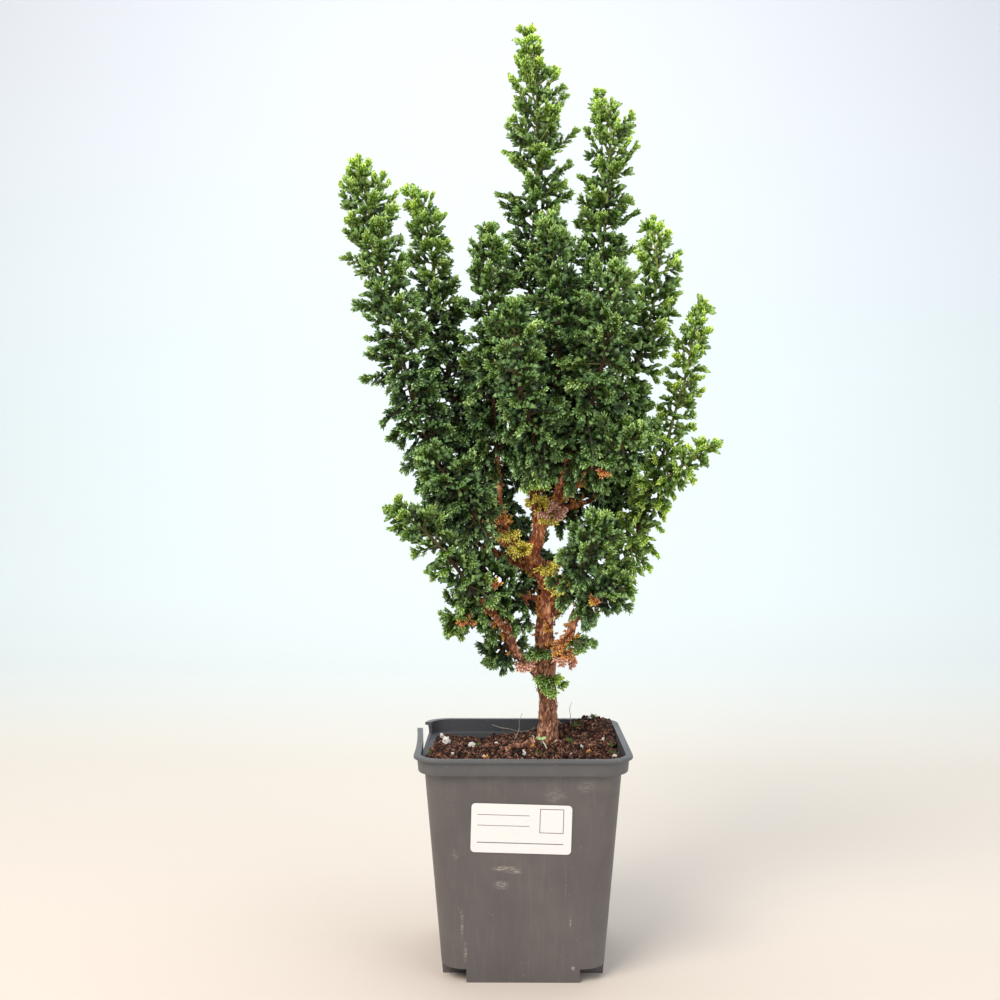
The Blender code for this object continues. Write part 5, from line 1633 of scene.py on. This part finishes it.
def make_flakes(tree, wood, surface):
    """Flakes of bark that peel from the trunk, root and branches."""
    growth = Growth(SEED + 5)
    draw = growth.draw
    verts = wood.data.vertices
    for _ in range(BARK_FLAKES):
        vert = verts[draw.randrange(len(verts))]
        place, out = vert.co.copy(), vert.normal.copy()
        above = place.z - soil_height(place.x, place.y)
        if above < -MM or abs(out.z) > 0.85 or (above < ROOT_CLEAR and on_root(place)):
            continue
        up = Vector((draw.uniform(-0.35, 0.35), draw.uniform(-0.35, 0.35), 1 if draw.random() < 0.6 else -1))
        up = up - out * up.dot(out)
        length = draw.uniform(*FLAKE_LENGTHS) * MM * (1.0 if place.z < HIGH_BARK else 0.85)
        size = (length * draw.uniform(0.8, 1.6), length * draw.uniform(0.5, 1.0), length)
        growth.spot(place - out * 0.1 * MM, up, out, size, draw.randrange(3), 0.0, draw.random())
    flakes = [flake_mesh(curl, kind) for kind, curl in enumerate(FLAKE_CURLS)]
    return strewn("bark_flakes", growth, flakes, surface, tree)


def make_dry_scales(tree, wood, fingers, surface):
    """Dried yellow, orange and brown scale leaves that cling to the bark, and a few on the soil."""
    growth = Growth(SEED + 6)
    draw = growth.draw
    bands = []
    for low, high in DRY_BANDS:
        bands.append([vert for vert in wood.data.vertices if low * MM < vert.co.z < high * MM])
    for _ in range(DRY_SCALES):
        vert = draw.choice(draw.choice(bands))
        out = vert.normal.copy()
        place = vert.co + out * (0.2 + 2.0 * draw.random() ** 3) * MM
        way = Vector((draw.uniform(-0.8, 0.8), draw.uniform(-0.8, 0.8), draw.uniform(-1, 1))) + out * 0.5
        size = finger_size(draw.uniform(0.3, 0.7) * FINGER_LENGTH, draw)
        size = (0.8 * size[0], 0.8 * size[1], size[2])
        growth.spot(place, way, out, size, draw.randrange(FINGER_KINDS), draw.random())
    for x, y, z, spread in DRY_SPRAYS:
        for _ in range(round(DRY_SPRAY_FILL * spread)):
            away = any_way(draw) * 0.45 * spread * MM
            away.y *= 0.6
            way = away.normalized() + Vector((0, -0.6, -0.2))
            size = finger_size(draw.uniform(0.4, 0.7) * FINGER_LENGTH, draw)
            growth.spot(
                Vector((x, y, z)) * MM + away, way, way.orthogonal(), size,
                draw.randrange(FINGER_KINDS), draw.random() ** 1.6)
    for x, y in FALLEN_SCALES:
        place = on_crumbs(x * MM, y * MM, MM)
        growth.spot(place, Vector((0.8, 0.5, 0.15)), Vector((0, 0, 1)), (0.7, 0.7, 0.5), 1, 0.9, 0.2)
    return piece("dry_scale_leaves", grown_mesh(growth, fingers, surface, surface, tree), surface)


def make_backdrop():
    """Seamless studio paper: a floor that curves up into a wall."""
    bm = bmesh.new()
    profile = [(BACKDROP_FRONT, 0.0)]
    for step in range(13):
        angle = step / 12 * math.pi / 2
        profile.append((
            BACKDROP_BEND + BACKDROP_RADIUS * math.sin(angle), BACKDROP_RADIUS * (1 - math.cos(angle))))
    profile.append((BACKDROP_BEND + BACKDROP_RADIUS, BACKDROP_TOP))
    rows = [[bm.verts.new((x, y, z)) for x in (-BACKDROP_HALF, 0, BACKDROP_HALF)] for y, z in profile]
    for low, high in zip(rows, rows[1:]):
        for i in range(2):
            bm.faces.new((low[i], low[i + 1], high[i + 1], high[i]))
    return piece("studio_backdrop", mesh_from(bm, outward=False), studio_paper(), SOFT_ANGLE)


def light_scene():
    """Soft daylight: a wide key above the front left, a fill at the right, and a pale world."""
    bpy.context.scene.view_settings.view_transform = "Standard"
    for name, place, target, size, power, colour in LIGHTS:
        lamp = bpy.data.lights.new(name, "AREA")
        lamp.size = size
        lamp.energy = power
        lamp.color = linear(colour)[:3]
        made = in_scene(name, lamp)
        made.location = place
        made.rotation_euler = (Vector(target) - Vector(place)).to_track_quat("-Z", "Y").to_euler()
    world = bpy.data.worlds.new("pale_room")
    world.use_nodes = True
    sky = world.node_tree.nodes["Background"]
    sky.inputs["Color"].default_value = linear(WORLD_COLOUR)
    seen = add(world.node_tree, "ShaderNodeLightPath").outputs["Is Camera Ray"]
    strength = add(world.node_tree, "ShaderNodeMapRange", {
        "Value": seen, "To Min": WORLD_STRENGTH, "To Max": SEEN_WORLD_STRENGTH})
    world.node_tree.links.new(strength.outputs["Result"], sky.inputs["Strength"])
    bpy.context.scene.world = world


def place_camera():
    """Camera: level with the middle of the plant, as in the photograph."""
    lens = bpy.data.cameras.new("camera")
    lens.lens = CAMERA_LENS
    lens.sensor_width = CAMERA_SENSOR
    camera = in_scene("camera", lens)
    camera.location = CAMERA_PLACE
    camera.rotation_euler = (math.pi / 2 - CAMERA_DOWN, 0, CAMERA_LEFT)
    bpy.context.scene.camera = camera


def settle(thing, slot, node=None):
    """Let a piece ride the object and stand for a solid if it replaces one. Its slot is not used."""
    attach(thing, "root")
    if node:
        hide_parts(node)


def main():
    """Dress the bonsai's solids and set the stage."""
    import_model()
    noise.seed_set(SEED)  # without a seed, noise_vector takes its offsets from the clock
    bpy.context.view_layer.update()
    tree = growth_tree()
    twig = twig_skin()
    leaves = {kind: scale_leaf(*row) for kind, row in LEAVES.items()}
    grains = {name: plain_grain(name, *row) for name, row in PLAIN_GRAINS.items()}
    fingers = finger_store()
    for name, thing in make_foliage(fingers, tree, leaves["sprig"], twig).items():
        settle(thing, "cypress_leaf", name)
    for tufts in (TUFTS, MORE_TUFTS):
        for name, thing in make_tufts(tufts, fingers, tree, leaves, twig).items():
            settle(thing, TUFT_SLOTS[name.split("_")[0]], name if name in TUFTS else None)
    wood = make_wood(tree, flaky_bark())
    soil = peat()
    settle(wood, "cypress_bark", "wood")
    settle(make_flakes(tree, wood, bark_flake()), "cypress_bark")
    settle(make_dry_scales(tree, wood, fingers, leaves["dry"]), "dead_leaf")
    clear_store(fingers)
    settle(make_pot(moulded_plastic()), "pot_plastic", "pot")
    settle(make_label(label_paper()), "label_paper", "label")
    settle(make_soil(soil), "peat_soil", "soil")
    settle(make_crumbs(tree, soil), "peat_soil")
    settle(make_strays(tree, grains["dry_root_hair"]), "peat_soil")
    settle(make_perlite(tree, grains["expanded_perlite"]), "peat_soil")
    settle(make_moss(tree, grains["green_moss"]), "peat_soil")
    stem, seed_leaves = make_seedling(grains["seedling_leaf"], grains["seedling_stem"], tree)
    settle(stem, "seedling_leaf")
    settle(seed_leaves, "seedling_leaf", "seedling")
    make_backdrop()
    light_scene()
    place_camera()


main()
